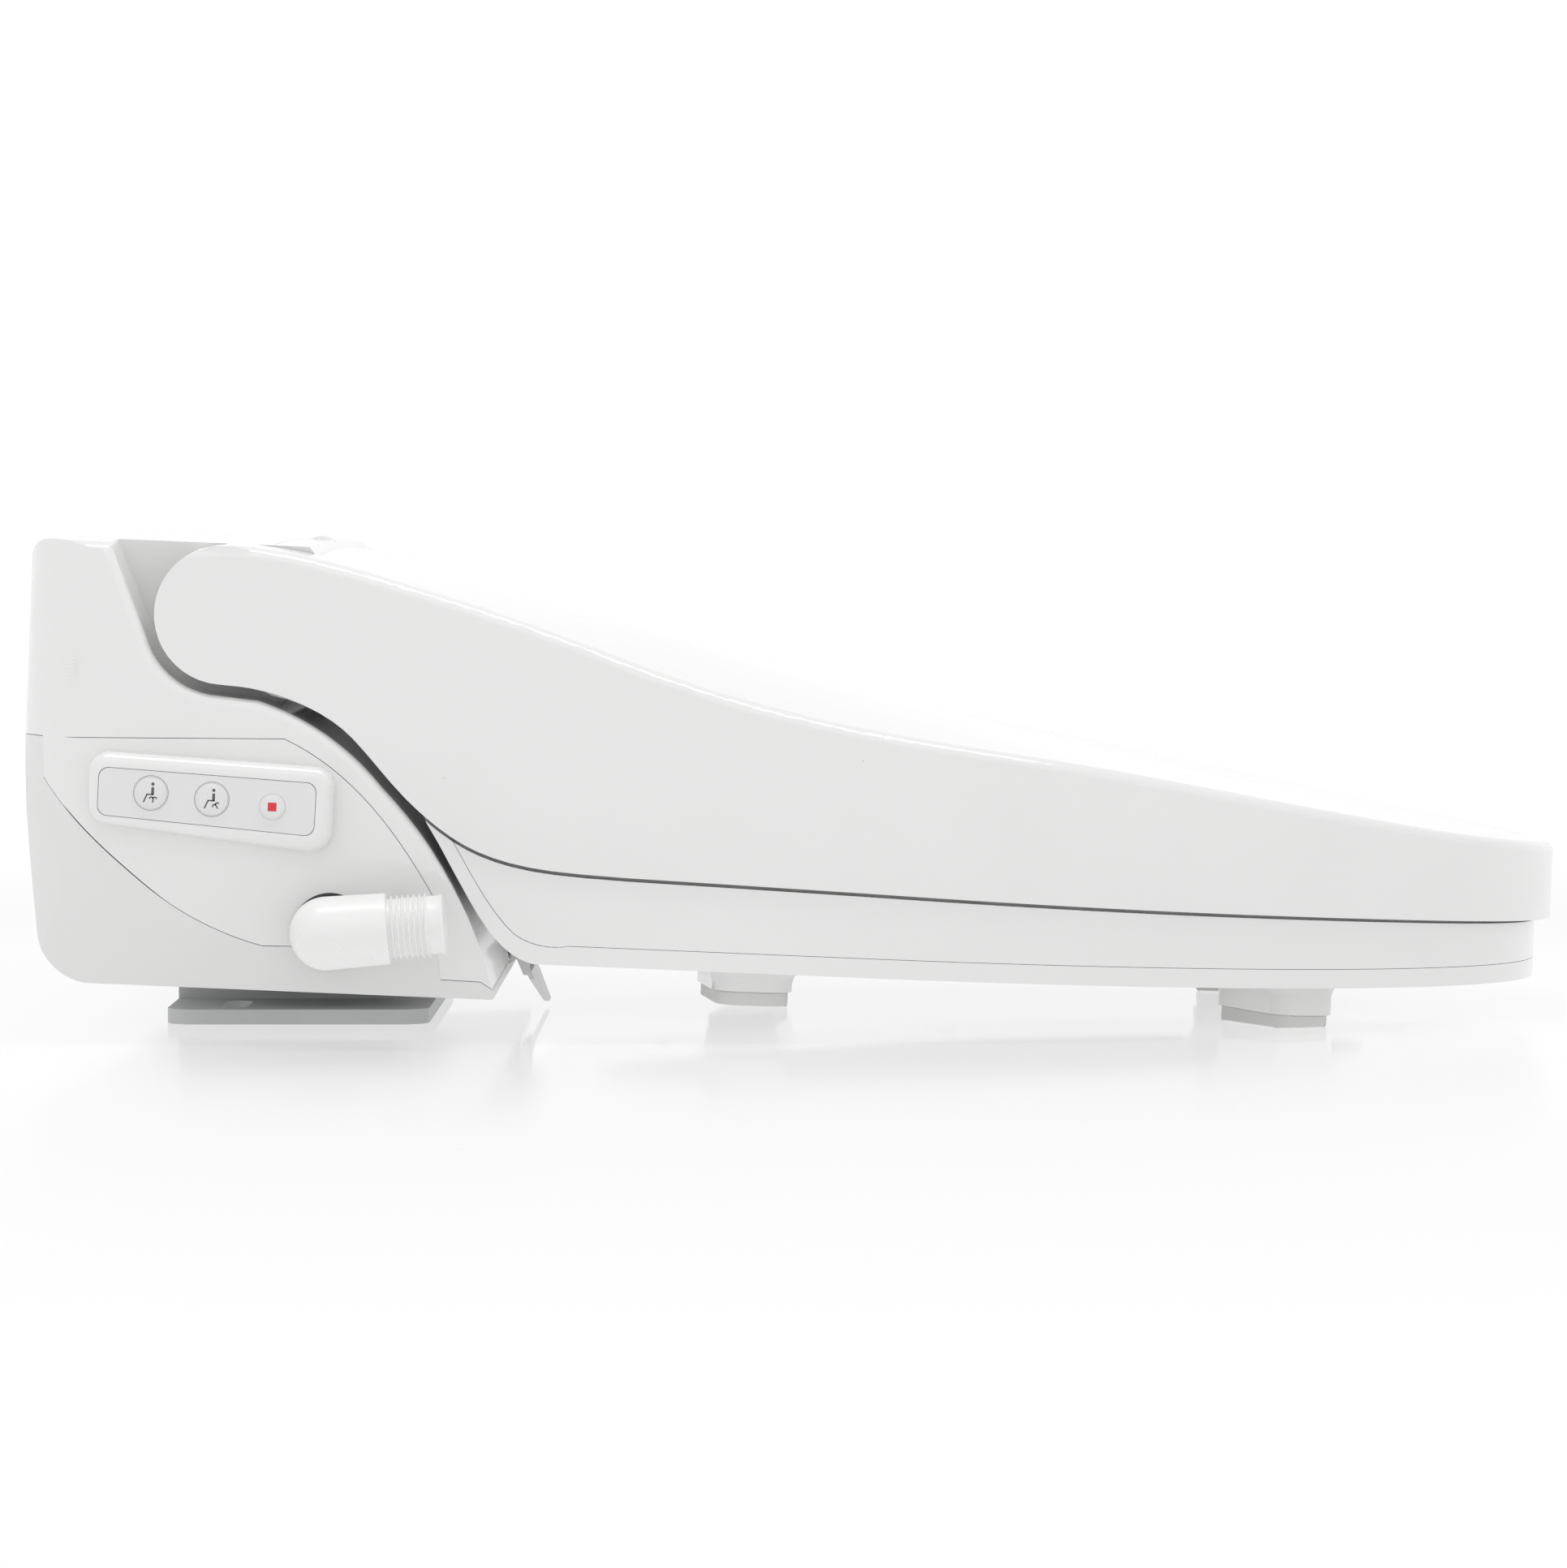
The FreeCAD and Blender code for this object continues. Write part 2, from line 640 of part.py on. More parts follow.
def seat_side_edges(low):
    """Side outline of the seat: round arm, rear edge, underside and top."""
    arm_top = about_pivot(seat_arm_radius, 80)
    arm_foot = about_pivot(seat_arm_radius, 262)
    reach = front_x + 10
    return [
        arc_about_pivot(seat_arm_radius, 262, 80),
        line(arm_top, (22, SEAT_ARM_Z)),
        curve([(22, SEAT_ARM_Z)] + SEAT_TOP[3:]),
        line(SEAT_TOP[-1], (SEAT_TOP[-1][0], low)),
        line((SEAT_TOP[-1][0], low), (SEAT_BACK[0][0] + 6, low)),
        line((SEAT_BACK[0][0] + 6, low), SEAT_BACK[0]),
        curve(SEAT_BACK),
        line(SEAT_BACK[-1], arm_foot),
    ]


def seat_block(inset):
    """The whole ring as one block, its skin drawn in by `inset`."""
    side = side_prism(seat_side_edges(seat_bottom_z), -past_sides, past_sides)
    wide = shell_plan(seat_half_width - inset, seat_front_x - inset, -60, 0, 190)
    narrow = shell_plan(seat_half_width - seat_inset - inset, seat_front_x - seat_inset - inset,
                        -60, 0, 190)
    below = side_prism(ledge_edges(), -past_sides, past_sides)
    body = side.common(narrow.fuse(wide.common(below)))
    return body


def ledge_edges():
    """Everything below the lid's lower edge, less the gap."""
    low = [(x, z - seat_ledge_gap) for x, z in LID_EDGE]
    return [curve(low), line(low[-1], (low[-1][0], -20)), line((low[-1][0], -20), (low[0][0], -20)),
            line((low[0][0], -20), low[0])]


def seat_cavity():
    """The hollow inside the ring, between its skins."""
    back = [(x + 4.6, z + 4.0) for x, z in SEAT_BACK[:-3]]
    top = [(x, z - seat_wall) for x, z in SEAT_TOP[4:]]
    low = seat_bottom_z + seat_wall
    edges = [curve(top), line(top[-1], (top[-1][0], low)), line((top[-1][0], low), back[0]),
             curve(back), line(back[-1], top[0])]
    side = side_prism(edges, -past_sides, past_sides)
    half = seat_half_width - seat_inset - seat_wall
    plan = shell_plan(half, seat_front_x - seat_inset - seat_wall, 40, 0, 190)
    return side.common(plan).cut(seat_hole(seat_wall, 0, 100))


def seat_heater():
    """The heating foil, laid on the inside of the seat's top skin."""
    top = [(x, z - seat_wall) for x, z in SEAT_TOP[4:]]
    low = [(x, z - seat_heater_thick) for x, z in top]
    edges = [curve(top), line(top[-1], low[-1]), curve(low), line(low[0], top[0])]
    inset = seat_inset + seat_wall + 4
    plan = shell_plan(seat_half_width - inset, seat_front_x - inset, 100, 0, 190)
    sheet = side_prism(edges, -past_sides, past_sides).common(plan)
    return sheet.cut(seat_hole(seat_wall + 4, 0, 100))


def seat_lower_region(grow):
    """Everything that belongs to the lower shell, in the side view."""
    far = front_x + 20
    split = [(x + 0.6 * grow, z + grow) for x, z in SEAT_SPLIT]
    end = SEAT_BACK[5]
    edges = [line((far, split[0][1]), split[0]), curve(split), line(split[-1], (end[0] - 4, end[1])),
             line((end[0] - 4, end[1]), (end[0] - 4, -20)), line((end[0] - 4, -20), (far, -20)),
             line((far, -20), (far, split[0][1]))]
    return side_prism(edges, -past_sides, past_sides)


def seat_pieces():
    block = seat_block(0).cut(seat_hole(0, 0, 100))
    block = block.cut(tongue_keepout(seat_tail_radius, tongue_half + side_gap))
    block = block.cut(ear_keepout())
    cavity = seat_cavity()
    pillars, bores, screws = [], [], []
    for x, y in SEAT_SCREWS:
        for sign in (-1, 1):
            foot = Vec(x, sign * y, seat_split_z + seat_split_gap)
            pillars.append(rod(pillar_radius, foot, Vec(x, sign * y, seat_top_z(x) - 1.5)))
            bottom = Vec(x, sign * y, seat_bottom_z - 1)
            bores.append(rod(screw_radius, bottom, Vec(x, sign * y, seat_bottom_z + 20)))
            bores.append(rod(screw_head, bottom, Vec(x, sign * y, seat_bottom_z + 1.6)))
            screws.append(countersunk(x, sign * y, seat_bottom_z + 0.2, 19.0))
    hollow = block.cut(cavity)
    lower = hollow.common(seat_lower_region(0))
    upper = hollow.cut(seat_lower_region(seat_split_gap))
    upper = upper.fuse(fuse_all(pillars).common(seat_block(0)))
    upper = upper.cut(fuse_all(bores))
    lower = lower.cut(fuse_all(bores + rack_ways()))
    upper = upper.cut(seat_pin_bores())
    heater = seat_heater().cut(fuse_all(pillars))
    necks, pads = seat_bumpers()
    lower = fuse_all([lower] + necks)
    return {
        "seat_upper_shell": upper.removeSplitter(),
        "seat_lower_shell": lower.removeSplitter(),
        "seat_heater": largest(heater),
        "seat_screws": Part.makeCompound(screws),
        "seat_bumpers_mid": Part.makeCompound(pads[:2]),
        "seat_bumpers_front": Part.makeCompound(pads[2:]),
    }


def largest(shape):
    return max(shape.Solids, key=lambda solid: solid.Volume)


def ear_keepout():
    """Room for the lid's two ears."""
    cuts = []
    for sign in (-1, 1):
        beyond = half_width + wall
        cuts.append(rod(ear_radius + 1.4, vec(pivot_x, pivot_z, sign * seat_arm_half[1]),
                        vec(pivot_x, pivot_z, sign * beyond)))
        low, high = sorted((sign * seat_arm_half[1], sign * beyond))
        cuts.append(box(-60, 0, low, high, 60, 200))
    return fuse_all(cuts)


def seat_pin_bores():
    bores = []
    for sign in (-1, 1):
        play = 0.0 if sign > 0 else pin_play
        bores.append(rod(pin_radius + play, vec(pivot_x, pivot_z, sign * tongue_half),
                         vec(pivot_x, pivot_z, sign * half_width)))
    return fuse_all(bores)


def floor_block():
    """Everything under the surface that the seat stands on, in the leaning unit's frame."""
    below = box(-200, 700, -300, 300, -60, 0)
    back = FreeCAD.Placement(Vec(0, 0, plate_lift), FreeCAD.Rotation(Vec(0, 1, 0), lean_deg))
    below.Placement = back.inverse()
    return below


def bumper(size, z0, z1, side, grow=0.0):
    """A rounded block along the ring, on one side of the seat."""
    x, y, along, across, angle = size
    half_a, half_b = along / 2 + grow, across / 2 + grow
    block = rounded(box(-half_a, half_a, -half_b, half_b, z0, z1), half_a * 0.7, Vec(0, 0, 1))
    turn = FreeCAD.Rotation(Vec(0, 0, 1), -side * angle)
    block.Placement = FreeCAD.Placement(Vec(x, side * y, 0), turn)
    return block


def bumper_flare(size, side):
    """The hollow-sided foot by which a neck widens into the ring."""
    stages = []
    for height, spread in BUMPER_FLARE:
        level = seat_bottom_z - height
        block = bumper(size, level, level + 1, side, spread)
        foot = [face for face in block.Faces if face.BoundBox.ZMax < level + 0.01]
        stages.append(foot[0].OuterWire)
    return Part.makeLoft(stages, True, True)


def seat_bumpers():
    """The necks moulded with the lower shell, and the four rubber pads under them."""
    necks, pads = [], []
    for size, pad_z in ((mid_bumper, mid_bumper_z), (front_bumper, -3.2)):
        for side in (-1, 1):
            top = pad_z + bumper_pad_thick
            neck = bumper(size, top, seat_bottom_z, side, 1.2).fuse(bumper_flare(size, side))
            pad = bumper(size, pad_z - 6, top, side).cut(floor_block())
            if pad_z > 0:
                pad = bumper(size, pad_z, top, side)
            necks.append(neck)
            pads.append(pad)
    return necks, pads


def countersunk(x, y, z, length):
    """A screw driven upwards, with its head at z."""
    head = rod(screw_head - 0.2, Vec(x, y, z), Vec(x, y, z + 1.3))
    slot = box(x - 2.4, x + 2.4, y - 0.4, y + 0.4, z, z + 0.6)
    return head.fuse(rod(screw_radius, Vec(x, y, z), Vec(x, y, z + length))).cut(slot)


# ---------------------------------------------------------------- housing pieces

def housing_pieces():
    outer, inner = housing_outline(0), housing_outline(wall)
    outer = round_side_edges(outer)
    shell = outer.cut(inner)
    base_region = polygon_prism(BASE_SEAM + [(95, -30), (-75, -30)], -250, 250)
    raised = [(x, z + seam) for x, z in BASE_SEAM]
    not_top = polygon_prism(raised + [(97, -30), (-77, -30)], -250, 250)
    base = shell.common(base_region)
    top = shell.cut(not_top)
    side_skin = shell.cut(box(-200, 200, wall - half_width, half_width - wall, -50, 200))
    covers = {}
    for side in (-1, 1):
        cut_low, cut_high = sorted((side * (half_width - wall), side * 260))
        wide = polygon_prism(side_cover_outline(0.0), cut_low, cut_high)
        top = top.cut(wide)
        covers[side] = side_skin.common(polygon_prism(side_cover_outline(seam), cut_low, cut_high))
    panel, recess = top_panel(outer)
    top = top.cut(recess)
    lens_hole = rod(lens_radius + 0.1, Vec(lens_x, 0, deck_z - 10), Vec(lens_x, 0, deck_z + 20))
    top = top.cut(lens_hole)
    top = fuse_all([top] + hinge_bosses() + case_pillars(inner))
    top = top.cut(fuse_all(pin_holes() + case_bores()))
    top = top.cut(front_openings()).cut(inlet_hole()).cut(fuse_all(rack_ways()))
    base = fuse_all([base, dock_boss()] + guard_lugs())
    base = base.cut(fuse_all(case_bores() + base_counterbores()))
    base = base.cut(front_openings()).cut(inlet_hole()).cut(dock_groove()).cut(release_slot())
    base = base.cut(gland_hole())
    pieces = {
        "base_shell": largest(base),
        "top_cover": largest(top),
        "top_panel": panel,
        "receiver_lens": receiver_lens(),
        "case_screws": Part.makeCompound([countersunk(x, y, 0.3, 20.0) for x, y in CASE_SCREWS]),
    }
    pieces["side_cover_right"] = with_pod(covers[-1]).cut(inlet_hole())
    pieces["side_cover_left"] = covers[1].cut(cartridge_hole())
    return pieces


def side_cover_outline(inset):
    """Outline of a side cover between the base seam and the top cover."""
    low = [(x, z + seam) for x, z in reversed(SEAM_SWEEP + [(72.6, 16)])]
    outline = SIDE_TOP + low
    face = Part.Face(Part.makePolygon([vec(x, z) for x, z in outline + outline[:1]]))
    if inset:
        face = face.makeOffset2D(-inset, 2)
    wire = face.OuterWire
    return [(v.Point.x, v.Point.z) for v in wire.OrderedVertexes]


def round_side_edges(block):
    """Roll the front edges beside the ears and along the hump."""
    edges = []
    for edge in block.Edges:
        middle = edge.valueAt((edge.FirstParameter + edge.LastParameter) / 2)
        bounds = edge.BoundBox
        on_side = bounds.YLength < 0.01 and abs(abs(middle.y) - half_width) < 0.01
        if on_side and middle.x > -42 and middle.z > base_inset_z and bounds.ZLength > 2:
            edges.append(edge)
    return block.makeFillet(edge_round, edges)


def top_panel(outer):
    """The inset panel of the deck and the recess that it lies in."""
    half = half_width - panel_margin
    tongue = tongue_half - panel_margin
    recess_plan = fuse_all([
        box(panel_rear_x, panel_step_x, -half, half, 100, 200),
        box(panel_step_x - 1, panel_front_x, -tongue, tongue, 100, 200)]).removeSplitter()
    recess_plan = rounded(recess_plan, 5.0, Vec(0, 0, 1))
    under = outer.translated(Vec(0, 0, -panel_thick))
    recess = recess_plan.cut(under)
    inner_plan = fuse_all([
        box(panel_rear_x + seam, panel_step_x - seam, -half + seam, half - seam, 100, 200),
        box(panel_step_x - 1, panel_front_x - seam, -tongue + seam, tongue - seam, 100, 200)])
    inner_plan = rounded(inner_plan.removeSplitter(), 4.7, Vec(0, 0, 1))
    return inner_plan.common(outer).cut(under), recess


def receiver_lens():
    """A frosted dome in the deck that lets the remote's signal through."""
    foot = rod(lens_radius, Vec(lens_x, 0, deck_z - 4), Vec(lens_x, 0, deck_z + deck_crown))
    dome = Part.makeSphere(9.0, Vec(lens_x, 0, deck_z + deck_crown - 7.6))
    crown = dome.common(rod(lens_radius, Vec(lens_x, 0, deck_z), Vec(lens_x, 0, deck_z + 10)))
    return foot.fuse(crown).removeSplitter()


def hinge_bosses():
    """Bearings behind the side walls of the middle block."""
    bosses = []
    for side in (-1, 1):
        near, far = tongue_half - boss_long, tongue_half - 1
        bosses.append(rod(pin_radius + wall + 1, vec(pivot_x, pivot_z, side * near),
                          vec(pivot_x, pivot_z, side * far)))
        low, high = sorted((side * near, side * far))
        bosses.append(box(-2, 2, low, high, pivot_z, deck_z - 1))
    return bosses


def pin_holes():
    near, far = tongue_half - boss_long - wall, tongue_half + side_gap
    return [rod(pin_radius + pin_play, vec(pivot_x, pivot_z, side * near),
                vec(pivot_x, pivot_z, side * far)) for side in (-1, 1)]


def case_pillars(inner):
    pillars = [rod(pillar_radius, Vec(x, y, wall), Vec(x, y, 200)) for x, y in CASE_SCREWS]
    return fuse_all(pillars).common(inner.fuse(inner.translated(Vec(0, 0, 1)))).Solids


def case_bores():
    return [rod(screw_radius, Vec(x, y, -5), Vec(x, y, 20.3)) for x, y in CASE_SCREWS]


def base_counterbores():
    return [rod(screw_head + 0.2, Vec(x, y, -5), Vec(x, y, 1.6)) for x, y in CASE_SCREWS]


def front_openings():
    """The nozzle bay and the warm-air outlet in the front of the housing."""
    bay = box(58, 110, -bay_half_width, bay_half_width, 3.6, bay_top_z)
    outlet = box(76, 110, outlet_y[0], outlet_y[1], outlet_z[0], outlet_z[1])
    return bay.fuse(outlet)


def rack_ways():
    """The two grooves that let the racks pass the housing and the seat ring."""
    half = rack_half_width + rack_way_gap
    top = rack_line + rack_half_depth + rack_way_gap
    return [along_nozzle(box(-pinion_back / 2, nozzle_travel, y - half, y + half, 0, top))
            for y in (-nozzle_half_spacing, nozzle_half_spacing)]


def inlet_hole():
    return rod(inlet_hole_radius, vec(inlet_x, inlet_z, 11 - half_width),
               vec(inlet_x, inlet_z, inlet_axis_y))


def cartridge_hole():
    x0, x1, y0, y1, z0, z1 = cartridge_box
    gap = cartridge_play
    return box(x0 - gap, x1 + gap, y0, y1 + 10, z0 - gap, z1 + gap)


def gland_hole():
    return rod(gland_radius, vec(gland_x, gland_z, half_width - 16),
               vec(gland_x, gland_z, half_width + 14))


def dovetail(grow):
    """The tongue of the dock that the unit slides onto."""
    foot, top = dovetail_half
    x0, x1 = dock_rear_x + 4 - grow, dock_front_x - 4 + grow
    y0, y1 = foot + grow, top + grow
    loop = [Vec(x0, -y0, -1), Vec(x0, y0, -1), Vec(x0, y1, dovetail_height + grow),
            Vec(x0, -y1, dovetail_height + grow)]
    face = Part.Face(Part.makePolygon(loop + loop[:1]))
    return face.extrude(Vec(x1 - x0, 0, 0))


def dock_boss():
    reach = dovetail_half[1] + 8
    return box(dock_rear_x - 2, dock_front_x + 4, -reach, reach, 0.5, dovetail_height + 3)


def dock_groove():
    return dovetail(dovetail_play)


def release_bar(grow):
    """The sliding catch, from its tip in the dovetail to its tab at the left side."""
    tip = dovetail_half[0] - 1.5
    return box(release_x - 5 - grow, release_x + 5 + grow, tip - grow, half_width + 4,
               3.4 - grow, 6.6 + grow)


def release_slot():
    return release_bar(0.35)


def release_slide():
    bar = release_bar(0).cut(box(-100, 100, half_width - 5, half_width + 74, -10, 30))
    tab = box(release_x - 8, release_x + 8, half_width - 6.4, half_width + 0.6, 2.6, 7.4)
    tab = rounded(tab, 1.2, Vec(1, 0, 0))
    return bar.fuse(tab).removeSplitter()


def guard_lugs():
    """Two lugs under the front lip of the base that carry the nozzle guard."""
    lugs = []
    for side in (-1, 1):
        low, high = sorted((side * (guard_half_width + 0.6), side * (guard_half_width + 3.6)))
        x, z = GUARD_PIVOT
        arm = polygon_prism([(84, 0.6), (84, 4.6), (87, 4.6), (90.8, 2.6), (91.2, 5.0),
                             (x - 2.4, z + 2.0), (x + 2.0, z - 2.6), (89, 0.6)], low, high)
        eye = rod(3.3, vec(x, z, low), vec(x, z, high))
        hole = rod(guard_pin_radius + pin_play, vec(x, z, low - 1), vec(x, z, high + 1))
        lugs.append(arm.fuse(eye).cut(hole))
    return lugs


# ---------------------------------------------------------------- controls

def pod_prism(points, corner, y0, y1):
    return rounded(polygon_prism(points, y0, y1), corner, Vec(0, 1, 0))


def shrink(points, amount):
    """Move the corners of a four-sided outline inwards."""
    middle_x = sum(p[0] for p in points) / len(points)
    middle_z = sum(p[1] for p in points) / len(points)
    return [(x - amount * math.copysign(1, x - middle_x), z - amount * math.copysign(1, z - middle_z))
            for x, z in points]


def pod_face_y():
    return -(half_width + pod_out)


def with_pod(cover):
    """Add the raised control pod to the right-hand cover."""
    face_y = pod_face_y()
    pod = pod_prism(POD, pod_corner, face_y, -(half_width - 1.0))
    rim = [e for e in pod.Edges if e.BoundBox.YLength < 0.01 and abs(e.BoundBox.YMin - face_y) < 0.01]
    pod = pod.makeFillet(pod_roll, rim)
    hollow = pod_prism(shrink(POD, wall), pod_corner - 2.5, face_y + wall, -150)
    recess = pod_prism(shrink(LABEL, -0.2), label_corner, face_y - 5, face_y + label_thick)
    cover = cover.fuse(pod).cut(hollow).cut(recess)
    for x, z, radius in BUTTONS.values():
        cover = cover.cut(rod(radius + button_play, vec(x, z, face_y - 5), vec(x, z, face_y + 8)))
    return cover.removeSplitter()


def control_pieces():
    face_y = pod_face_y()
    label = pod_prism(LABEL, label_corner, face_y + 0.1, face_y + label_thick)
    pieces = {}
    board = box(-38, 35, face_y + 12.6, face_y + 14.0, 50, 72)
    board = board.cut(polygon_prism([(-38, 50), (-38, 53), (35, 50)], face_y, -100))
    for name, (x, z, radius) in BUTTONS.items():
        label = label.cut(rod(radius + button_play, vec(x, z, face_y - 5), vec(x, z, face_y + 8)))
        stem = rod(radius, vec(x, z, face_y - button_proud), vec(x, z, face_y + 8.6))
        rim = [e for e in stem.Edges if e.BoundBox.YMax < face_y - button_proud + 0.01]
        stem = stem.makeFillet(0.8, rim)
        flange = rod(radius + 1.2, vec(x, z, face_y + wall + 0.3), vec(x, z, face_y + wall + 1.5))
        pieces[name] = stem.fuse(flange).removeSplitter()
        switch = box(x - 3, x + 3, face_y + 10.6, face_y + 12.6, z - 3, z + 3)
        plunger = rod(1.6, vec(x, z, face_y + 9.8), vec(x, z, face_y + 10.7))
        board = fuse_all([board, switch, plunger])
    pieces["control_label"] = label
    pieces["control_board"] = board.removeSplitter()
    return pieces


# ---------------------------------------------------------------- water inlet

def inlet_arm_point(distance, across=0.0):
    """A point on the threaded arm's axis, from the swivel axis outwards."""
    pitch = math.radians(inlet_pitch_deg)
    x = inlet_x + distance * math.cos(pitch) - across * math.sin(pitch)
    z = inlet_z + distance * math.sin(pitch) + across * math.cos(pitch)
    return vec(x, z, inlet_axis_y)


def inlet_turned_arm():
    """The ball, neck and thread, turned from one outline about the arm's axis."""
    crest, root = inlet_thread_radius, inlet_thread_radius - inlet_thread_depth
    neck = inlet_neck_radius
    outline = [(inlet_neck_length, neck), (inlet_neck_length, root)]
    for turn in range(inlet_threads):
        start = inlet_neck_length + inlet_thread_gap + turn * inlet_thread_pitch
        outline += [(start, root), (start, crest), (start + inlet_thread_gap, crest),
                    (start + inlet_thread_gap, root)]
    outline += [(inlet_arm - inlet_end_ring, root), (inlet_arm - inlet_end_ring, crest),
                (inlet_arm, crest), (inlet_arm, 0), (-inlet_ball_radius, 0)]
    points = [inlet_arm_point(along, across) for along, across in outline]
    edges = [Part.makeLine(a, b) for a, b in zip(points, points[1:])]
    slope = math.sqrt(0.5) * inlet_ball_radius
    ball_top = inlet_arm_point(0, inlet_ball_radius)
    edges.append(Part.Arc(points[-1], inlet_arm_point(-slope, slope), ball_top).toShape())
    edges.append(Part.makeLine(ball_top, points[0]))
    pitch = math.radians(inlet_pitch_deg)
    axis = Vec(math.cos(pitch), 0, math.sin(pitch))
    return Part.Face(Part.Wire(edges)).revolve(inlet_arm_point(0), axis, 360)


def inlet_elbow():
    """The swivelling elbow: a grooved stem, a ball and a threaded arm with its bore."""
    stem = rod(inlet_stem_radius, vec(inlet_x, inlet_z, inlet_stem_y),
               vec(inlet_x, inlet_z, inlet_axis_y))
    collar = rod(inlet_stem_radius + 1.4, vec(inlet_x, inlet_z, -(half_width + 0.5)),
                 vec(inlet_x, inlet_z, inlet_axis_y))
    body = fuse_all([stem, collar, inlet_turned_arm()])
    bore = rod(inlet_bore_radius, inlet_arm_point(0), inlet_arm_point(inlet_arm + 1))
    body = body.cut(bore.fuse(rod(inlet_bore_radius, vec(inlet_x, inlet_z, inlet_stem_y + 7),
                                  vec(inlet_x, inlet_z, inlet_axis_y))))
    for y in O_RING_Y:
        body = body.cut(ring(inlet_stem_radius + 1, inlet_stem_radius - 1.6,
                             vec(inlet_x, inlet_z, y), vec(inlet_x, inlet_z, y + 2.4)))
    return body.removeSplitter()


def inlet_o_rings():
    rings = []
    for y in O_RING_Y:
        centre = vec(inlet_x, inlet_z, y + 1.2)
        rings.append(Part.makeTorus(inlet_stem_radius - 0.75, 0.78, centre, Vec(0, 1, 0)))
    return Part.makeCompound(rings)


def inlet_filter():
    """A basket strainer inside the threaded arm."""
    reach = inlet_bore_radius - 0.05
    cup = rod(reach, inlet_arm_point(inlet_arm - 14), inlet_arm_point(inlet_arm - 1))
    hollow = rod(reach - 0.8, inlet_arm_point(inlet_arm - 13), inlet_arm_point(inlet_arm))
    return cup.cut(hollow)


def valve_block():
    """Body of the stop valve with the socket that the elbow turns in, and its coil."""
    body = rounded(box(22, 56, VALVE_Y[0], VALVE_Y[1], 5, 44), 2.5, Vec(0, 0, 1))
    coil = rod(11.0, Vec(39, valve_middle_y, 43), Vec(39, valve_middle_y, 62))
    spigot = rod(hose_radius - hose_wall, Vec(23, valve_middle_y, hose_z),
                 Vec(14, valve_middle_y, hose_z))
    socket = rod(inlet_stem_radius + inlet_stem_play, vec(inlet_x, inlet_z, VALVE_Y[0] - 17),
                 vec(inlet_x, inlet_z, inlet_stem_y + 1))
    foot = box(24, 54, VALVE_Y[0] + 2, VALVE_Y[1] - 2, wall, 5)
    return fuse_all([body, coil, spigot, foot]).cut(socket).removeSplitter()


def supply_hose():
    """The hose from the valve to the tank, two straight runs each side of a long bend."""
    y0, y1 = valve_middle_y, tank_box[2]
    bend = 18.0
    points = [Vec(15, y0, hose_z), Vec(hose_x + bend, y0, hose_z), Vec(hose_x, y0 + bend, hose_z)]
    corner = Vec(hose_x + bend * (1 - math.sqrt(0.5)), y0 + bend * (1 - math.sqrt(0.5)), hose_z)
    path = Part.Wire([
        Part.makeLine(points[0], points[1]),
        Part.Arc(points[1], corner, points[2]).toShape(),
        Part.makeLine(points[2], Vec(hose_x, y1, hose_z)),
    ])
    tubes = []
    for radius in (hose_radius, hose_radius - hose_wall):
        section = Part.Wire(Part.makeCircle(radius, points[0], Vec(1, 0, 0)))
        tubes.append(path.makePipeShell([section], True, False))
    return tubes[0].cut(tubes[1])


def water_tank():
    x0, x1, y0, y1, z0, z1 = tank_box
    shell = rounded(box(x0, x1, y0, y1, z0, z1), 5.0, Vec(0, 0, 1))
    hollow = box(x0 + tank_wall, x1 - tank_wall, y0 + tank_wall, y1 - tank_wall,
                 z0 + tank_wall, z1 - tank_wall)
    feet = [box(x - 3, x + 3, y - 3, y + 3, wall, z0)
            for x in (x0 + 34, x1 - 6) for y in (y0 + 8, y1 - 8)]
    port = rod(hose_radius - hose_wall, Vec(hose_x, y0 - 8, hose_z), Vec(hose_x, y0 + 1, hose_z))
    return fuse_all([shell, port] + feet).cut(rounded(hollow, 3.0, Vec(0, 0, 1)))


def tank_heater():
    """A hairpin heating element on its flange."""
    x0, x1, y0, y1, z0, z1 = tank_box
    x = (x0 + x1) / 2
    legs = [rod(2.5, Vec(x + dx, y0 + tank_wall, 22), Vec(x + dx, y1 - 14, 22)) for dx in (-9, 9)]
    bend = Part.makeTorus(9.0, 2.5, Vec(x, y1 - 14, 22), Vec(0, 0, 1))
    bend = bend.common(box(x - 20, x + 20, y1 - 14, y1, 0, 40))
    plate = box(x - 14, x + 14, y0 + tank_wall, y0 + tank_wall + 2, 14, 30)
    return fuse_all(legs + [bend, plate]).removeSplitter()


# ---------------------------------------------------------------- nozzles

def nozzle_frame():
    """Placement whose X runs along the nozzle travel, with the exit at its origin."""
    turn = FreeCAD.Rotation(Vec(0, 1, 0), nozzle_pitch_deg)
    return FreeCAD.Placement(vec(*nozzle_exit), turn)


def along_nozzle(shape):
    placed = shape.copy()
    placed.Placement = nozzle_frame().multiply(placed.Placement)
    return placed


def pinion_centre_height():
    return rack_line + pinion_pitch_radius()


def pinion_pitch_radius():
    return pinion_teeth * rack_pitch / (2 * math.pi)


def rack_section(start, end):
    """Side outline of a toothed bar: flat below, trapezoidal teeth above."""
    low = rack_line - rack_half_depth
    high = rack_line + rack_half_depth
    wide = rack_pitch * (tooth_share + 0.1) / 2
    narrow = rack_pitch * (tooth_share - 0.1) / 2
    foot = nozzle_radius - 2.0
    loop = [(start, foot), (start, low)]
    centre = start + rack_pitch
    while centre < end - rack_pitch / 2:
        loop += [(centre - wide, low), (centre - narrow, high), (centre + narrow, high),
                 (centre + wide, low)]
        centre += rack_pitch
    return loop + [(end, low), (end, foot)]


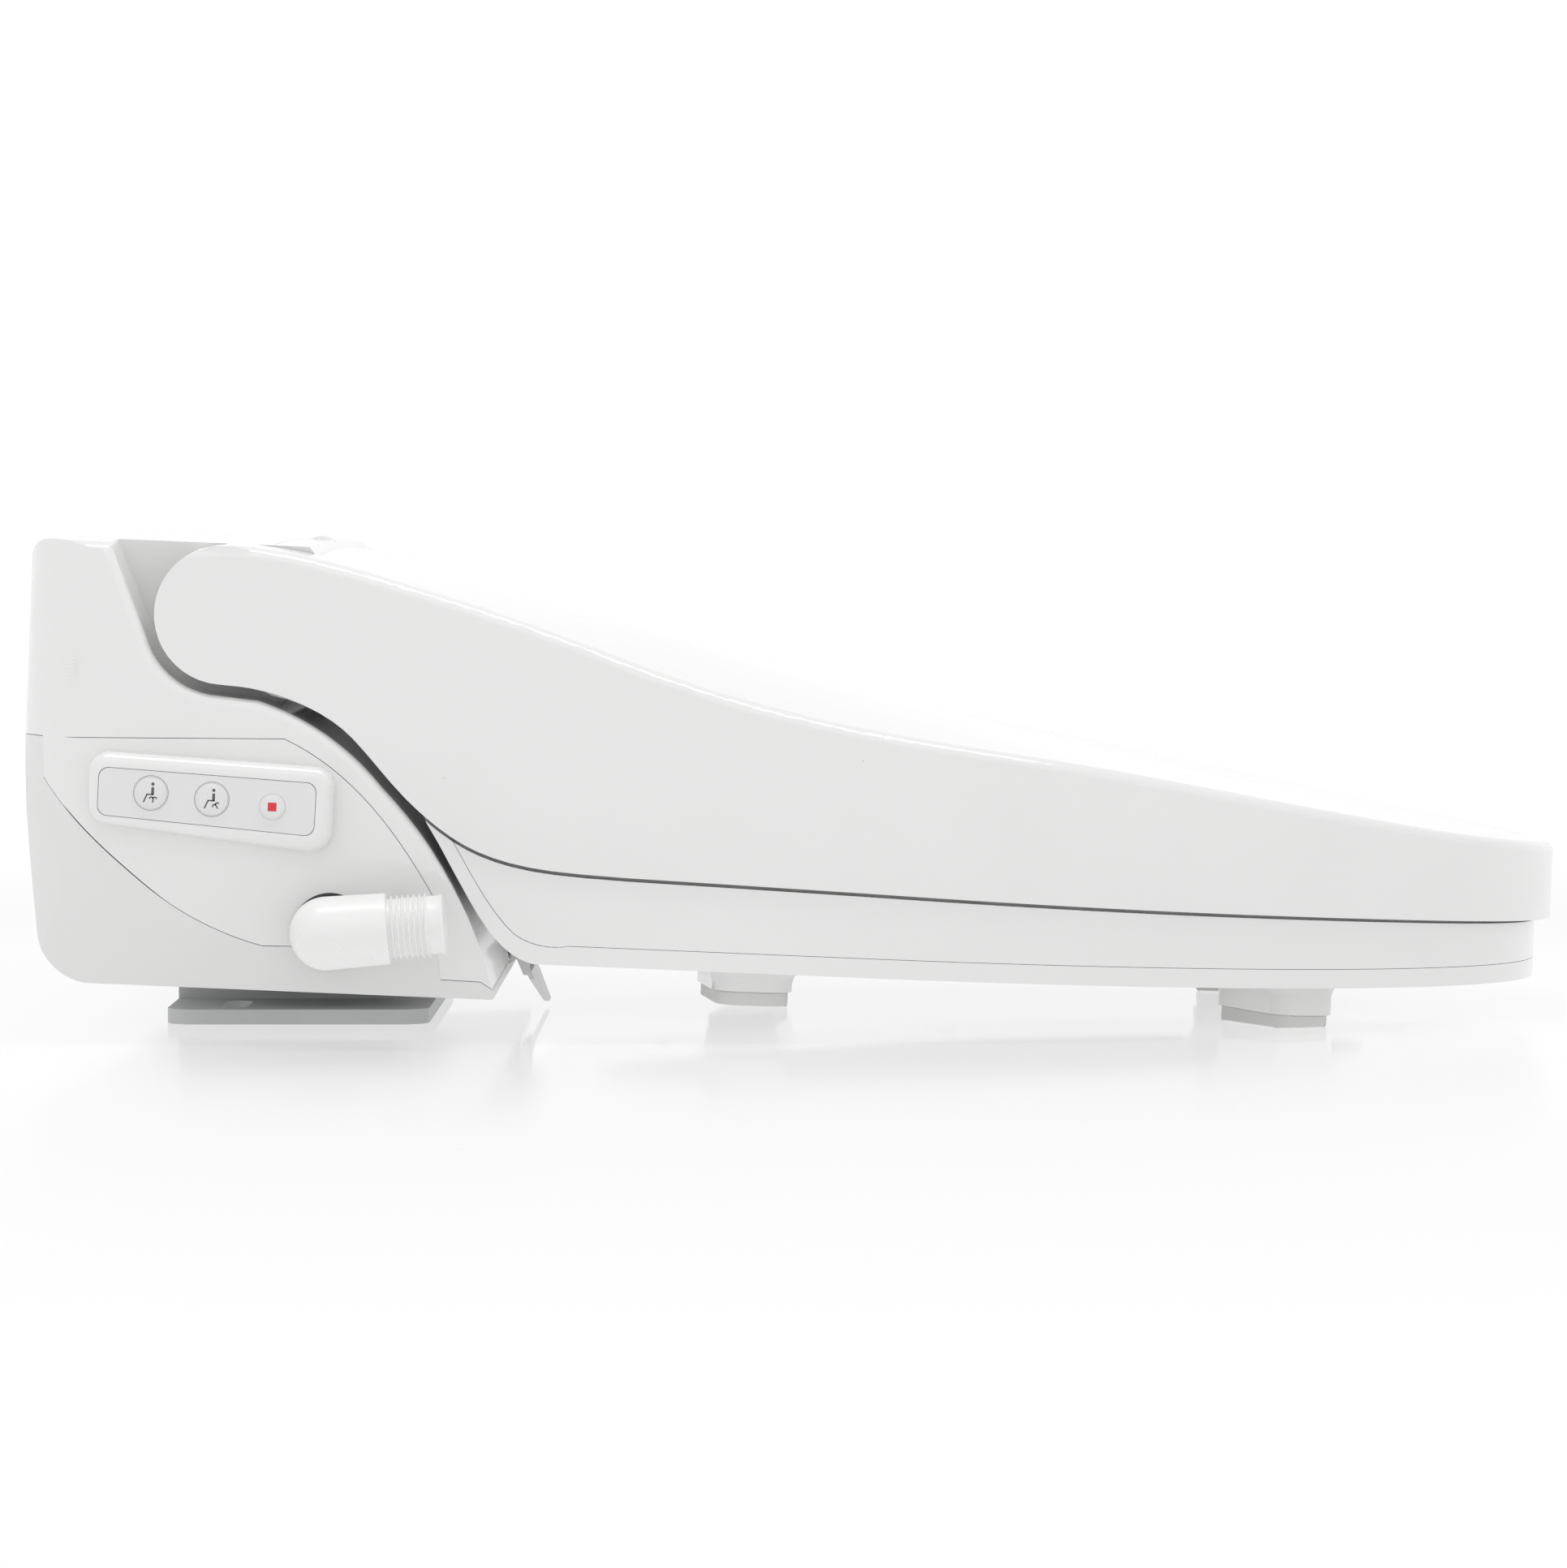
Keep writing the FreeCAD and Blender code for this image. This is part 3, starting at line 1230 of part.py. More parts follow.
def nozzle(y, spout):
    """One spray nozzle with its rack, in place at rest."""
    tube = rod(nozzle_radius, Vec(-nozzle_length, y, 0), Vec(-5, y, 0))
    tip = Part.makeSphere(nozzle_radius, Vec(-5, y, 0))
    start = -(pinion_back + rack_pitch * math.floor(nozzle_travel / rack_pitch + 4.5))
    rack = polygon_prism(rack_section(start, -pinion_back + 3.4 * rack_pitch),
                         y - rack_half_width, y + rack_half_width)
    body = fuse_all([tube, tip, rack])
    body = body.cut(rod(nozzle_radius - 2.2, Vec(-nozzle_length - 1, y, 0), Vec(-9, y, 0)))
    for x in spout:
        body = body.cut(rod(0.7, Vec(x, y, 0), Vec(x, y, 8)))
    return along_nozzle(body.removeSplitter())


def pinion(y):
    """A straight-toothed wheel over the rack, one gap facing the rack's tooth."""
    middle = pinion_pitch_radius()
    root, tip = middle - rack_half_depth, middle + rack_half_depth - tooth_top_gap
    wheel = rod(root - tooth_top_gap, Vec(0, -pinion_width / 2, 0), Vec(0, pinion_width / 2, 0))
    wide = rack_pitch * (tooth_share - tooth_backlash + 0.1) / 2
    narrow = rack_pitch * (tooth_share - tooth_backlash - 0.1) / 2
    tooth = polygon_prism([(-wide, root - 0.6), (wide, root - 0.6), (narrow, tip), (-narrow, tip)],
                          -pinion_width / 2, pinion_width / 2)
    teeth = []
    for index in range(pinion_teeth):
        turned = tooth.copy()
        turned.rotate(Vec(0, 0, 0), Vec(0, 1, 0), (index + 0.5) * 360 / pinion_teeth)
        teeth.append(turned)
    wheel = fuse_all([wheel] + teeth)
    wheel = wheel.cut(rod(motor_shaft_radius, Vec(0, -10, 0), Vec(0, 10, 0)))
    wheel.translate(Vec(-pinion_back, y, pinion_centre_height()))
    return along_nozzle(wheel.removeSplitter())


def nozzle_motor(side):
    """A small stepping motor outside its pinion."""
    y = nozzle_half_spacing * side
    height = pinion_centre_height()
    near = y + side * (nozzle_radius + nozzle_play + 0.3)
    far = near + side * motor_length
    can = rod(motor_radius, Vec(-pinion_back, near, height), Vec(-pinion_back, far, height))
    shaft = rod(motor_shaft_radius - 0.05, Vec(-pinion_back, y - side * pinion_width / 2, height),
                Vec(-pinion_back, near, height))
    return along_nozzle(can.fuse(shaft).removeSplitter())


def nozzle_tray():
    """The sloping tray that both nozzles slide in, on its legs."""
    half = tray_half_width
    block = box(-nozzle_length - 4, -6, -half, half, -tray_depth, 1.5)
    block = block.cut(box(-nozzle_length, 0, -2, 2, -4, 4))
    for side in (-1, 1):
        y = side * nozzle_half_spacing
        groove = nozzle_radius + nozzle_play
        block = block.cut(rod(groove, Vec(-nozzle_length - 2, y, 0), Vec(0, y, 0)))
        block = block.cut(box(-nozzle_length - 2, 0, y - groove, y + groove, 0, 5))
        low, high = sorted((side * (half - 3), side * half))
        block = block.fuse(box(-pinion_back - 14, -pinion_back + 14, low, high, -2, 5.0))
    tray = along_nozzle(block.removeSplitter())
    above = along_nozzle(box(-300, 100, -100, 100, -tray_depth, 200))
    foot_z = dovetail_height + 3
    legs = box(-22, -14, -18, 18, foot_z, 120).fuse(box(30, 38, -18, 18, foot_z, 120))
    tray = tray.fuse(legs.cut(above)).removeSplitter()
    return tray.cut(motor_room())


def motor_room():
    height = pinion_centre_height()
    near = nozzle_half_spacing + nozzle_radius
    cans = [rod(motor_radius + 0.3, Vec(-pinion_back, side * near, height),
                Vec(-pinion_back, side * 60.0, height)) for side in (-1, 1)]
    return along_nozzle(fuse_all(cans))


def nozzle_guard():
    """The deflector lip below the nozzles, hung between two lugs."""
    x, z = GUARD_PIVOT
    tip_x, tip_z = guard_tip
    half = guard_half_width
    plate = polygon_prism([(96.4, -0.4), (96.4 + guard_thick, -0.4), (tip_x + guard_thick, tip_z),
                           (tip_x, tip_z)], -half, half)
    outline = [Vec(-50, -half, 9), Vec(-50, half, 9), Vec(-50, half, -3), Vec(-50, 9, tip_z),
               Vec(-50, -9, tip_z), Vec(-50, -half, -3)]
    shape = Part.Face(Part.makePolygon(outline + outline[:1])).extrude(Vec(300, 0, 0))
    plate = plate.common(shape)
    arms = []
    for side in (-1, 1):
        low, high = sorted((side * (half - 2.4), side * half))
        arms.append(polygon_prism([(x - 2.2, z), (x + 2.6, z), (98.4, -1.6), (95.6, -1.6)],
                                  low, high))
        arms.append(rod(2.4, vec(x, z, low), vec(x, z, high)))
        arms.append(rod(guard_pin_radius, vec(x, z, low), vec(x, z, side * (half + 3.6))
                        if side > 0 else vec(x, z, -(half + 3.6))))
    return fuse_all([plate] + arms).removeSplitter()


def nozzle_pieces():
    rear_y, front_y = nozzle_half_spacing, -nozzle_half_spacing
    return {
        "nozzle_rear": nozzle(rear_y, (-8.0, -11.0, -14.0)),
        "nozzle_front": nozzle(front_y, (-8.0, -10.0, -12.0, -14.0)),
        "pinion_rear": pinion(rear_y),
        "pinion_front": pinion(front_y),
        "nozzle_motor_rear": nozzle_motor(1),
        "nozzle_motor_front": nozzle_motor(-1),
        "nozzle_tray": nozzle_tray(),
        "nozzle_guard": nozzle_guard(),
    }


# ---------------------------------------------------------------- air

def fan_point(dy):
    return Vec(fan_x, fan_y + dy, fan_z)


def fan_casing():
    """A drum with an air inlet on its outer face and an outlet low at the front."""
    outer = fan_radius + fan_wall
    drum = rod(outer, fan_point(-fan_half), fan_point(fan_half))
    low = fan_z - outer
    spout = box(fan_x, fan_x + 31, fan_y - fan_half, fan_y + fan_half, low, low + 14)
    foot = box(fan_x - 12, fan_x + 12, fan_y - 10, fan_y + 10, wall, low + 2)
    solid = fuse_all([drum, spout, foot])
    room = rod(fan_radius, fan_point(-fan_half + fan_wall), fan_point(fan_half - fan_wall))
    way = box(fan_x, fan_x + 40, fan_y - fan_half + fan_wall, fan_y + fan_half - fan_wall,
              low + fan_wall, low + 14 - fan_wall)
    inlet = rod(14.0, fan_point(0), fan_point(fan_half + 5))
    shaft = rod(3.0, fan_point(-fan_half - 5), fan_point(0))
    return solid.cut(fuse_all([room, way, inlet, shaft])).removeSplitter()


def fan_impeller():
    """A drum impeller: back plate, hub, blades and a front ring."""
    width = fan_half - fan_wall - 1.0
    back = rod(24.0, fan_point(-width), fan_point(-width + 1.4))
    hub = rod(5.0, fan_point(-width), fan_point(width - 6))
    rim = ring(24.0, 21.0, fan_point(width - 1.4), fan_point(width))
    blade = box(17.5, 23.6, -0.5, 0.5, -width + 1.0, width - 1.0)
    blades = []
    for index in range(fan_blades):
        one = blade.copy()
        one.rotate(Vec(20, 0, 0), Vec(0, 0, 1), 35)
        one.rotate(Vec(0, 0, 0), Vec(0, 0, 1), index * 360 / fan_blades)
        one.rotate(Vec(0, 0, 0), Vec(1, 0, 0), -90)
        one.translate(fan_point(0))
        blades.append(one)
    wheel = fuse_all([back, hub, rim] + blades)
    return wheel.cut(rod(1.5, fan_point(-40), fan_point(40))).removeSplitter()


def fan_motor():
    far = -fan_half - fan_motor_length
    can = rod(13.0, fan_point(far), fan_point(-fan_half))
    shaft = rod(1.45, fan_point(-fan_half), fan_point(2.0))
    return can.fuse(shaft).removeSplitter()


def rectangle(x, y0, y1, z0, z1):
    corners = [Vec(x, y0, z0), Vec(x, y1, z0), Vec(x, y1, z1), Vec(x, y0, z1)]
    return Part.makePolygon(corners + corners[:1])


def dryer_duct():
    """The duct from the fan to the outlet at the front."""
    low = fan_z - fan_radius - fan_wall
    y0, y1 = outlet_y
    start, end = fan_x + 31, 82.0
    body = Part.makeLoft([rectangle(start, y0, y1, low, low + 14),
                          rectangle(end, y0, y1, outlet_z[0] + 0.2, outlet_z[1])], True, True)
    wall_x = fan_wall
    way = Part.makeLoft([rectangle(start, y0 + wall_x, y1 - wall_x, low + wall_x,
                                   low + 14 - wall_x),
                         rectangle(end, y0 + wall_x, y1 - wall_x, outlet_z[0] + wall_x,
                                   outlet_z[1] - wall_x)], True, True)
    return body.cut(way)


def dryer_heater():
    """Mica cross with its heating wires, across the duct."""
    low = fan_z - fan_radius - fan_wall
    y0, y1 = outlet_y
    plates = [box(fan_x + 34, fan_x + 56, y - 0.5, y + 0.5, low - 3, low + 9)
              for y in (64.0, 72.0, 80.0)]
    rods = [rod(0.9, Vec(x, y0 + 2, low + 3.5), Vec(x, y1 - 2, low + 3.5))
            for x in (fan_x + 38, fan_x + 45, fan_x + 52)]
    cross = fuse_all(plates + rods)
    start, end = fan_x + 31, 82.0
    inset = fan_wall
    room = Part.makeLoft([rectangle(start, y0 + inset, y1 - inset, low + inset,
                                    low + 14 - inset),
                          rectangle(end, y0 + inset, y1 - inset, outlet_z[0] + inset,
                                    outlet_z[1] - inset)], True, True)
    return cross.common(room)


def dryer_flap():
    """The flap that closes the warm-air outlet, hung on its upper edge."""
    x, z = FLAP_PIVOT
    y0, y1 = outlet_y
    plate = polygon_prism([(x - 0.6, z), (x + 0.6, z), (92.8, 3.8), (91.6, 3.8)],
                          y0 + 0.6, y1 - 0.6)
    bar = rod(1.0, vec(x, z, y0 + 0.6), vec(x, z, y1 - 0.6))
    return plate.fuse(bar).removeSplitter()


def cartridge():
    """The carbon filter drawer: a frame with a grille and a front plate."""
    x0, x1, y0, y1, z0, z1 = cartridge_box
    body = rounded(box(x0, x1, y0, y1, z0, z1), 2.0, Vec(0, 1, 0))
    window = box(x0 + 4, x1 - 4, y0 + 5, y1 - 12, z0 - 1, z1 + 1)
    bars = [box(x0 + 2, x1 - 2, y - 0.8, y + 0.8, z0 + 1, z1 - 1)
            for y in (y0 + 12, y0 + 20, y0 + 28, y0 + 36)]
    grip = rod(7.0, Vec((x0 + x1) / 2, y1 + 4.2, z0 - 2), Vec((x0 + x1) / 2, y1 + 4.2, z1 + 2))
    return body.cut(window).fuse(fuse_all(bars)).cut(grip).removeSplitter()


def cartridge_sleeve():
    x0, x1, y0, y1, z0, z1 = cartridge_box
    gap, grow = cartridge_play, cartridge_play + sleeve_wall
    outer = box(x0 - grow, x1 + grow, y0 - grow, half_width - wall - 0.6, z0 - grow, z1 + grow)
    return outer.cut(box(x0 - gap, x1 + gap, y0 - gap, half_width, z0 - gap, z1 + gap))


def air_pieces():
    return {
        "fan_casing": fan_casing(),
        "fan_impeller": fan_impeller(),
        "fan_motor": fan_motor(),
        "dryer_duct": dryer_duct(),
        "dryer_heater": dryer_heater(),
        "dryer_flap": dryer_flap(),
        "filter_cartridge": cartridge(),
        "cartridge_sleeve": cartridge_sleeve(),
    }


# ---------------------------------------------------------------- electronics

def main_board():
    """The control board with its larger parts."""
    x0, x1, y0, y1, z0, z1 = board_box
    board = box(x0, x1, y0, y1, z0, z1)
    parts = [box(-28, -14, -132, -112, z1, z1 + 12), box(-8, 6, -130, -118, z1, z1 + 15),
             box(-28, -12, -98, -86, z1, z1 + 6), box(0, 14, -80, -62, z1, z1 + 9)]
    parts += [rod(5.0, Vec(12, y, z1), Vec(12, y, z1 + 18)) for y in (-106.0, -94.0)]
    return fuse_all([board] + parts)


def board_tray():
    """The tray under the board, on four legs."""
    x0, x1, y0, y1, z0, z1 = board_box
    tray = box(x0, x1, y0, y1, z0 - 6, z0).cut(box(x0 + 3, x1 - 3, y0 + 3, y1 - 3, z0 - 4, z0 + 1))
    legs = [rod(3.0, Vec(x, y, wall), Vec(x, y, z0 - 5)) for x in (-20.0, 18.0)
            for y in (y0 + 4, y1 - 4)]
    return fuse_all([tray] + legs).removeSplitter()


def power_supply():
    x0, x1, y0, y1, z0, z1 = supply_box
    case = rounded(box(x0, x1, y0, y1, z0, z1), 3.0, Vec(0, 0, 1))
    slots = [box(x0 - 1, x1 + 1, y - 1.0, y + 1.0, z1 - 8, z1 + 1)
             for y in (y0 + 12, y0 + 20, y0 + 28, y0 + 36)]
    return case.cut(fuse_all(slots))


def cord_gland():
    """Strain relief for the supply cord, on the left side."""
    face = half_width
    body = rod(gland_radius - 0.05, vec(gland_x, gland_z, face - 11), vec(gland_x, gland_z, face + 4))
    flange = rod(gland_radius + 2.5, vec(gland_x, gland_z, face - 1.6), vec(gland_x, gland_z, face + 1))
    nose = Part.makeCone(gland_radius - 0.05, gland_radius - 1.6, 8.0,
                         vec(gland_x, gland_z, face + 3.5), Vec(0, 1, 0))
    bore = rod(cord_bore_radius, vec(gland_x, gland_z, face - 16), vec(gland_x, gland_z, face + 14))
    return fuse_all([body, flange, nose]).cut(bore).removeSplitter()


# ---------------------------------------------------------------- hinge and mounting plate

def hinge_pin(side):
    """A hinge shaft: the left one turns with the seat, the right one with the lid."""
    outer = half_width - ear_skin - pin_end_gap
    return rod(pin_radius, vec(pivot_x, pivot_z, side * pin_inner_y),
               vec(pivot_x, pivot_z, side * outer))


def soft_close_damper(side):
    """The oil damper on a hinge shaft, keyed to the middle block."""
    far = side * (tongue_half - boss_long - 0.4)
    near = side * (tongue_half - boss_long - 0.4 - damper_long)
    body = rod(pin_radius + 3.5, vec(pivot_x, pivot_z, near), vec(pivot_x, pivot_z, far))
    low, high = sorted((near, far))
    key = box(-3, 3, low, high, pivot_z, deck_z - wall - 0.2)
    bore = rod(pin_radius + pin_play, vec(pivot_x, pivot_z, side * (pin_inner_y - 1)),
               vec(pivot_x, pivot_z, side * tongue_half))
    return body.fuse(key).cut(bore).removeSplitter()


def mounting_plate():
    """The plate that the bowl bolts hold, with the raised dock for the unit."""
    half = plate_half_width
    plate = rounded(box(plate_rear_x, plate_front_x, -half, half, 0, plate_thick), 10.0, Vec(0, 0, 1))
    for side in (-1, 1):
        centre = side * bolt_spacing / 2
        reach = bolt_slot_length / 2
        slot = box(-bolt_slot_radius, bolt_slot_radius, centre - reach, centre + reach, -1, 10)
        ends = [rod(bolt_slot_radius, Vec(0, centre + end * reach, -1), Vec(0, centre + end * reach, 10))
                for end in (-1, 1)]
        plate = plate.cut(fuse_all([slot] + ends))
    dock = box(plate_rear_x, dock_front_x, -dock_half_width, dock_half_width, 0, 40)
    above = lean(box(-100, 150, -100, 100, 0, 100))
    dock = dock.cut(above)
    tail = lean(dovetail(0).cut(release_bar(0.35)))
    tail = tail.common(box(plate_rear_x, dock_front_x, -60, 60, 0, 60))
    return fuse_all([plate, dock, tail]).removeSplitter()


def main():
    os.makedirs("parts", exist_ok=True)
    pieces = {}
    pieces.update(housing_pieces())
    pieces.update(control_pieces())
    pieces.update(lid_pieces())
    pieces.update(seat_pieces())
    pieces.update(nozzle_pieces())
    pieces.update(air_pieces())
    pieces["inlet_elbow"] = inlet_elbow()
    pieces["inlet_o_rings"] = inlet_o_rings()
    pieces["inlet_filter"] = inlet_filter()
    pieces["valve_block"] = valve_block()
    pieces["supply_hose"] = supply_hose()
    pieces["water_tank"] = water_tank()
    pieces["tank_heater"] = tank_heater()
    pieces["main_board"] = main_board()
    pieces["board_tray"] = board_tray()
    pieces["power_supply"] = power_supply()
    pieces["cord_gland"] = cord_gland()
    pieces["hinge_pin_left"] = hinge_pin(1)
    pieces["hinge_pin_right"] = hinge_pin(-1)
    pieces["seat_damper"] = soft_close_damper(1)
    pieces["lid_damper"] = soft_close_damper(-1)
    pieces["release_slide"] = release_slide()
    for name, shape in pieces.items():
        save(name, shape)
    save("mounting_plate", mounting_plate(), level=True)


if __name__ == "__main__":
    main()
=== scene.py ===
"""Looks of an electric bidet seat: finishes, fine detail, table, light and camera.

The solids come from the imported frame. Everything is in metres, with +X to the front of the bowl,
+Y to the user's left and +Z up. The seat unit leans forward by LEAN_DEG on its mounting plate.
"""
import json
import logging
import math
from dataclasses import dataclass, field
from enum import Enum
from typing import Iterable, Sequence

import bmesh
import bpy
from mathutils import Matrix, Vector

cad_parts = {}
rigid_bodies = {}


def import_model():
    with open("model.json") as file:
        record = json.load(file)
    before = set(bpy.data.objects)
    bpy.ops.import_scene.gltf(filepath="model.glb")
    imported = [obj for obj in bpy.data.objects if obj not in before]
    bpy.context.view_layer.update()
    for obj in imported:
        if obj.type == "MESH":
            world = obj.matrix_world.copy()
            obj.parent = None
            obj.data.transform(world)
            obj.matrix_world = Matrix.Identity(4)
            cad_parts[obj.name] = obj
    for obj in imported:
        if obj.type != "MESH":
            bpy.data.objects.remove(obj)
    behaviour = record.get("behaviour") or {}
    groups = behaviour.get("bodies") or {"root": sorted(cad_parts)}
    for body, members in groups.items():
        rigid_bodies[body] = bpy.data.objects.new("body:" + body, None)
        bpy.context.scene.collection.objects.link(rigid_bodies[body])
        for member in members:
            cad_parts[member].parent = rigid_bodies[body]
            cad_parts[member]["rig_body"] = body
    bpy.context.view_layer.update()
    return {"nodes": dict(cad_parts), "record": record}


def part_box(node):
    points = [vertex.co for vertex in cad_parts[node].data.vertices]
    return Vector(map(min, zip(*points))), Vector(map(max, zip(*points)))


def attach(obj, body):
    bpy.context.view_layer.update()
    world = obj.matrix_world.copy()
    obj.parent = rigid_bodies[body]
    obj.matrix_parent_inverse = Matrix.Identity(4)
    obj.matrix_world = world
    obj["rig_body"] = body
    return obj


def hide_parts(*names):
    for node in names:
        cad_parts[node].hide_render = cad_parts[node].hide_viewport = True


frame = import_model()

LOG = logging.getLogger("bidet_seat")
MM = 0.001
LEAN_DEG = 2.4
SLOT_OF_NODE = {part["node"]: part["material_slot"] for part in frame["record"]["subparts"]}

Colour = tuple[float, float, float]


class Side(Enum):
    """The two sides of the seat, as the sign of Y."""

    RIGHT = -1
    LEFT = 1


class Pattern(Enum):
    """Surface textures that a finish can carry."""

    PEEL = "peel"
    GRAIN = "grain"
    BRUSHED = "brushed"


# ---------------------------------------------------------------- shader groups


class Wiring:
    """Adds nodes to one node tree and joins them."""

    def __init__(self, tree: bpy.types.NodeTree) -> None:
        """Keep the tree that the nodes go in."""
        self.tree = tree

    def add(self, kind: str, **settings: object) -> bpy.types.Node:
        """Add one node.

        Args:
            kind: Blender's name for the node.
            settings: attributes of the node to set.

        Returns:
            The new node.
        """
        node = self.tree.nodes.new(kind)
        for name, value in settings.items():
            setattr(node, name, value)
        return node

    def join(self, source: bpy.types.NodeSocket, target: bpy.types.NodeSocket) -> None:
        """Link an output to an input."""
        self.tree.links.new(source, target)

    def math(self, operation: str, first: object, second: object) -> bpy.types.NodeSocket:
        """A two-input sum on sockets or numbers.

        Args:
            operation: name of the sum, such as MULTIPLY.
            first: socket or number.
            second: socket or number.

        Returns:
            The socket with the result.
        """
        node = self.add("ShaderNodeMath", operation=operation)
        for socket, value in zip(node.inputs, (first, second)):
            if isinstance(value, bpy.types.NodeSocket):
                self.join(value, socket)
            else:
                socket.default_value = value
        return node.outputs[0]

    def noise(self, place: bpy.types.NodeSocket, scale: object,
              detail: float) -> bpy.types.NodeSocket:
        """A noise pattern.

        Args:
            place: socket with the coordinates.
            scale: socket or number, in repeats a metre.
            detail: number of finer layers.

        Returns:
            The socket with the noise, from 0 to 1.
        """
        node = self.add("ShaderNodeTexNoise")
        node.inputs["Detail"].default_value = detail
        self.join(place, node.inputs["Vector"])
        if isinstance(scale, bpy.types.NodeSocket):
            self.join(scale, node.inputs["Scale"])
        else:
            node.inputs["Scale"].default_value = scale
        return node.outputs["Fac"]

    def remap(self, value: bpy.types.NodeSocket, span: Sequence[float],
              into: Sequence[float]) -> bpy.types.NodeSocket:
        """Carry a value from one range to another, held at its ends.

        Args:
            value: socket to carry over.
            span: lowest and highest value read.
            into: what they become.

        Returns:
            The socket with the result.
        """
        node = self.add("ShaderNodeMapRange")
        limits = ("From Min", "From Max", "To Min", "To Max")
        for name, number in zip(limits, (*span, *into)):
            node.inputs[name].default_value = number
        self.join(value, node.inputs["Value"])
        return node.outputs["Result"]

    def tint(self, amount: bpy.types.NodeSocket, plain: object,
             other: object) -> bpy.types.NodeSocket:
        """Mix two colours by a mask.

        Args:
            amount: mask, 0 for the plain colour.
            plain: socket or colour where the mask is 0.
            other: socket or colour where the mask is 1.

        Returns:
            The socket with the mixed colour.
        """
        node = self.add("ShaderNodeMix", data_type="RGBA")
        self.join(amount, node.inputs[0])
        for socket, value in ((node.inputs[6], plain), (node.inputs[7], other)):
            if isinstance(value, bpy.types.NodeSocket):
                self.join(value, socket)
            else:
                socket.default_value = (*value, 1.0)
        return node.outputs[2]


class SurfaceGroups:
    """The surface effects that several finishes share, each built once."""

    def __init__(self) -> None:
        """Build the three groups."""
        self.groups = {
            Pattern.PEEL: self._moulded(),
            Pattern.GRAIN: self._grained(),
            Pattern.BRUSHED: self._brushed(),
        }

    @staticmethod
    def _shell(name: str, inputs: dict[str, tuple[str, object]]) -> tuple[Wiring, dict, dict]:
        """Start a group with a colour, a roughness and a height as outputs.

        Args:
            name: name of the group.
            inputs: socket name to its kind and default.

        Returns:
            The wiring, the input sockets and the output sockets by name.
        """
        group = bpy.data.node_groups.new(name, "ShaderNodeTree")
        for label, (kind, default) in inputs.items():
            socket = group.interface.new_socket(label, in_out="INPUT", socket_type=kind)
            socket.default_value = default
        group.interface.new_socket("Color", in_out="OUTPUT", socket_type="NodeSocketColor")
        group.interface.new_socket("Roughness", in_out="OUTPUT", socket_type="NodeSocketFloat")
        group.interface.new_socket("Height", in_out="OUTPUT", socket_type="NodeSocketFloat")
        wiring = Wiring(group)
        start, end = wiring.add("NodeGroupInput"), wiring.add("NodeGroupOutput")
        return wiring, start.outputs, end.inputs

    def _moulded(self) -> bpy.types.NodeTree:
        """Injection-moulded skin: faint mottling, orange peel and a few specks of dust."""
        wiring, given, made = self._shell("moulded_skin", {
            "Color": ("NodeSocketColor", (0.85, 0.85, 0.85, 1)),
            "Shade": ("NodeSocketColor", (0.8, 0.8, 0.8, 1)),
            "Roughness": ("NodeSocketFloat", 0.2),
            "Spread": ("NodeSocketFloat", 0.05),
            "Size": ("NodeSocketFloat", 900.0),
        })
        place = wiring.add("ShaderNodeTexCoord").outputs["Object"]
        cloud = wiring.noise(place, 11.0, 3.0)
        soft = wiring.remap(cloud, (0.3, 0.7), (0.0, 1.0))
        colour = wiring.tint(soft, given["Color"], given["Shade"])
        specks = wiring.add("ShaderNodeTexVoronoi", feature="F1")
        specks.inputs["Scale"].default_value = 75.0
        wiring.join(place, specks.inputs["Vector"])
        dots = wiring.remap(specks.outputs["Distance"], (0.018, 0.03), (1.0, 0.0))
        rare = wiring.remap(wiring.noise(place, 40.0, 0.0), (0.62, 0.64), (0.0, 0.35))
        dusty = wiring.math("MULTIPLY", dots, rare)
        wiring.join(wiring.tint(dusty, colour, (0.32, 0.3, 0.28)), made["Color"])
        smear = wiring.noise(place, 26.0, 4.0)
        offset = wiring.math("MULTIPLY", wiring.math("SUBTRACT", smear, 0.5), given["Spread"])
        wiring.join(wiring.math("ADD", given["Roughness"], offset), made["Roughness"])
        wiring.join(wiring.noise(place, given["Size"], 2.0), made["Height"])
        return wiring.tree

    def _grained(self) -> bpy.types.NodeTree:
        """Spark-eroded grain of satin mouldings and rubber."""
        wiring, given, made = self._shell("fine_grain", {
            "Color": ("NodeSocketColor", (0.5, 0.5, 0.5, 1)),
            "Shade": ("NodeSocketColor", (0.45, 0.45, 0.45, 1)),
            "Roughness": ("NodeSocketFloat", 0.45),
            "Spread": ("NodeSocketFloat", 0.1),
            "Size": ("NodeSocketFloat", 1800.0),
        })
        place = wiring.add("ShaderNodeTexCoord").outputs["Object"]
        cells = wiring.add("ShaderNodeTexVoronoi", feature="SMOOTH_F1")
        wiring.join(place, cells.inputs["Vector"])
        wiring.join(given["Size"], cells.inputs["Scale"])
        pits = wiring.remap(cells.outputs["Distance"], (0.1, 0.7), (0.0, 1.0))
        cloud = wiring.remap(wiring.noise(place, 18.0, 4.0), (0.3, 0.75), (0.0, 1.0))
        wiring.join(wiring.tint(cloud, given["Color"], given["Shade"]), made["Color"])
        offset = wiring.math("MULTIPLY", wiring.math("SUBTRACT", pits, 0.5), given["Spread"])
        wiring.join(wiring.math("ADD", given["Roughness"], offset), made["Roughness"])
        wiring.join(pits, made["Height"])
        return wiring.tree

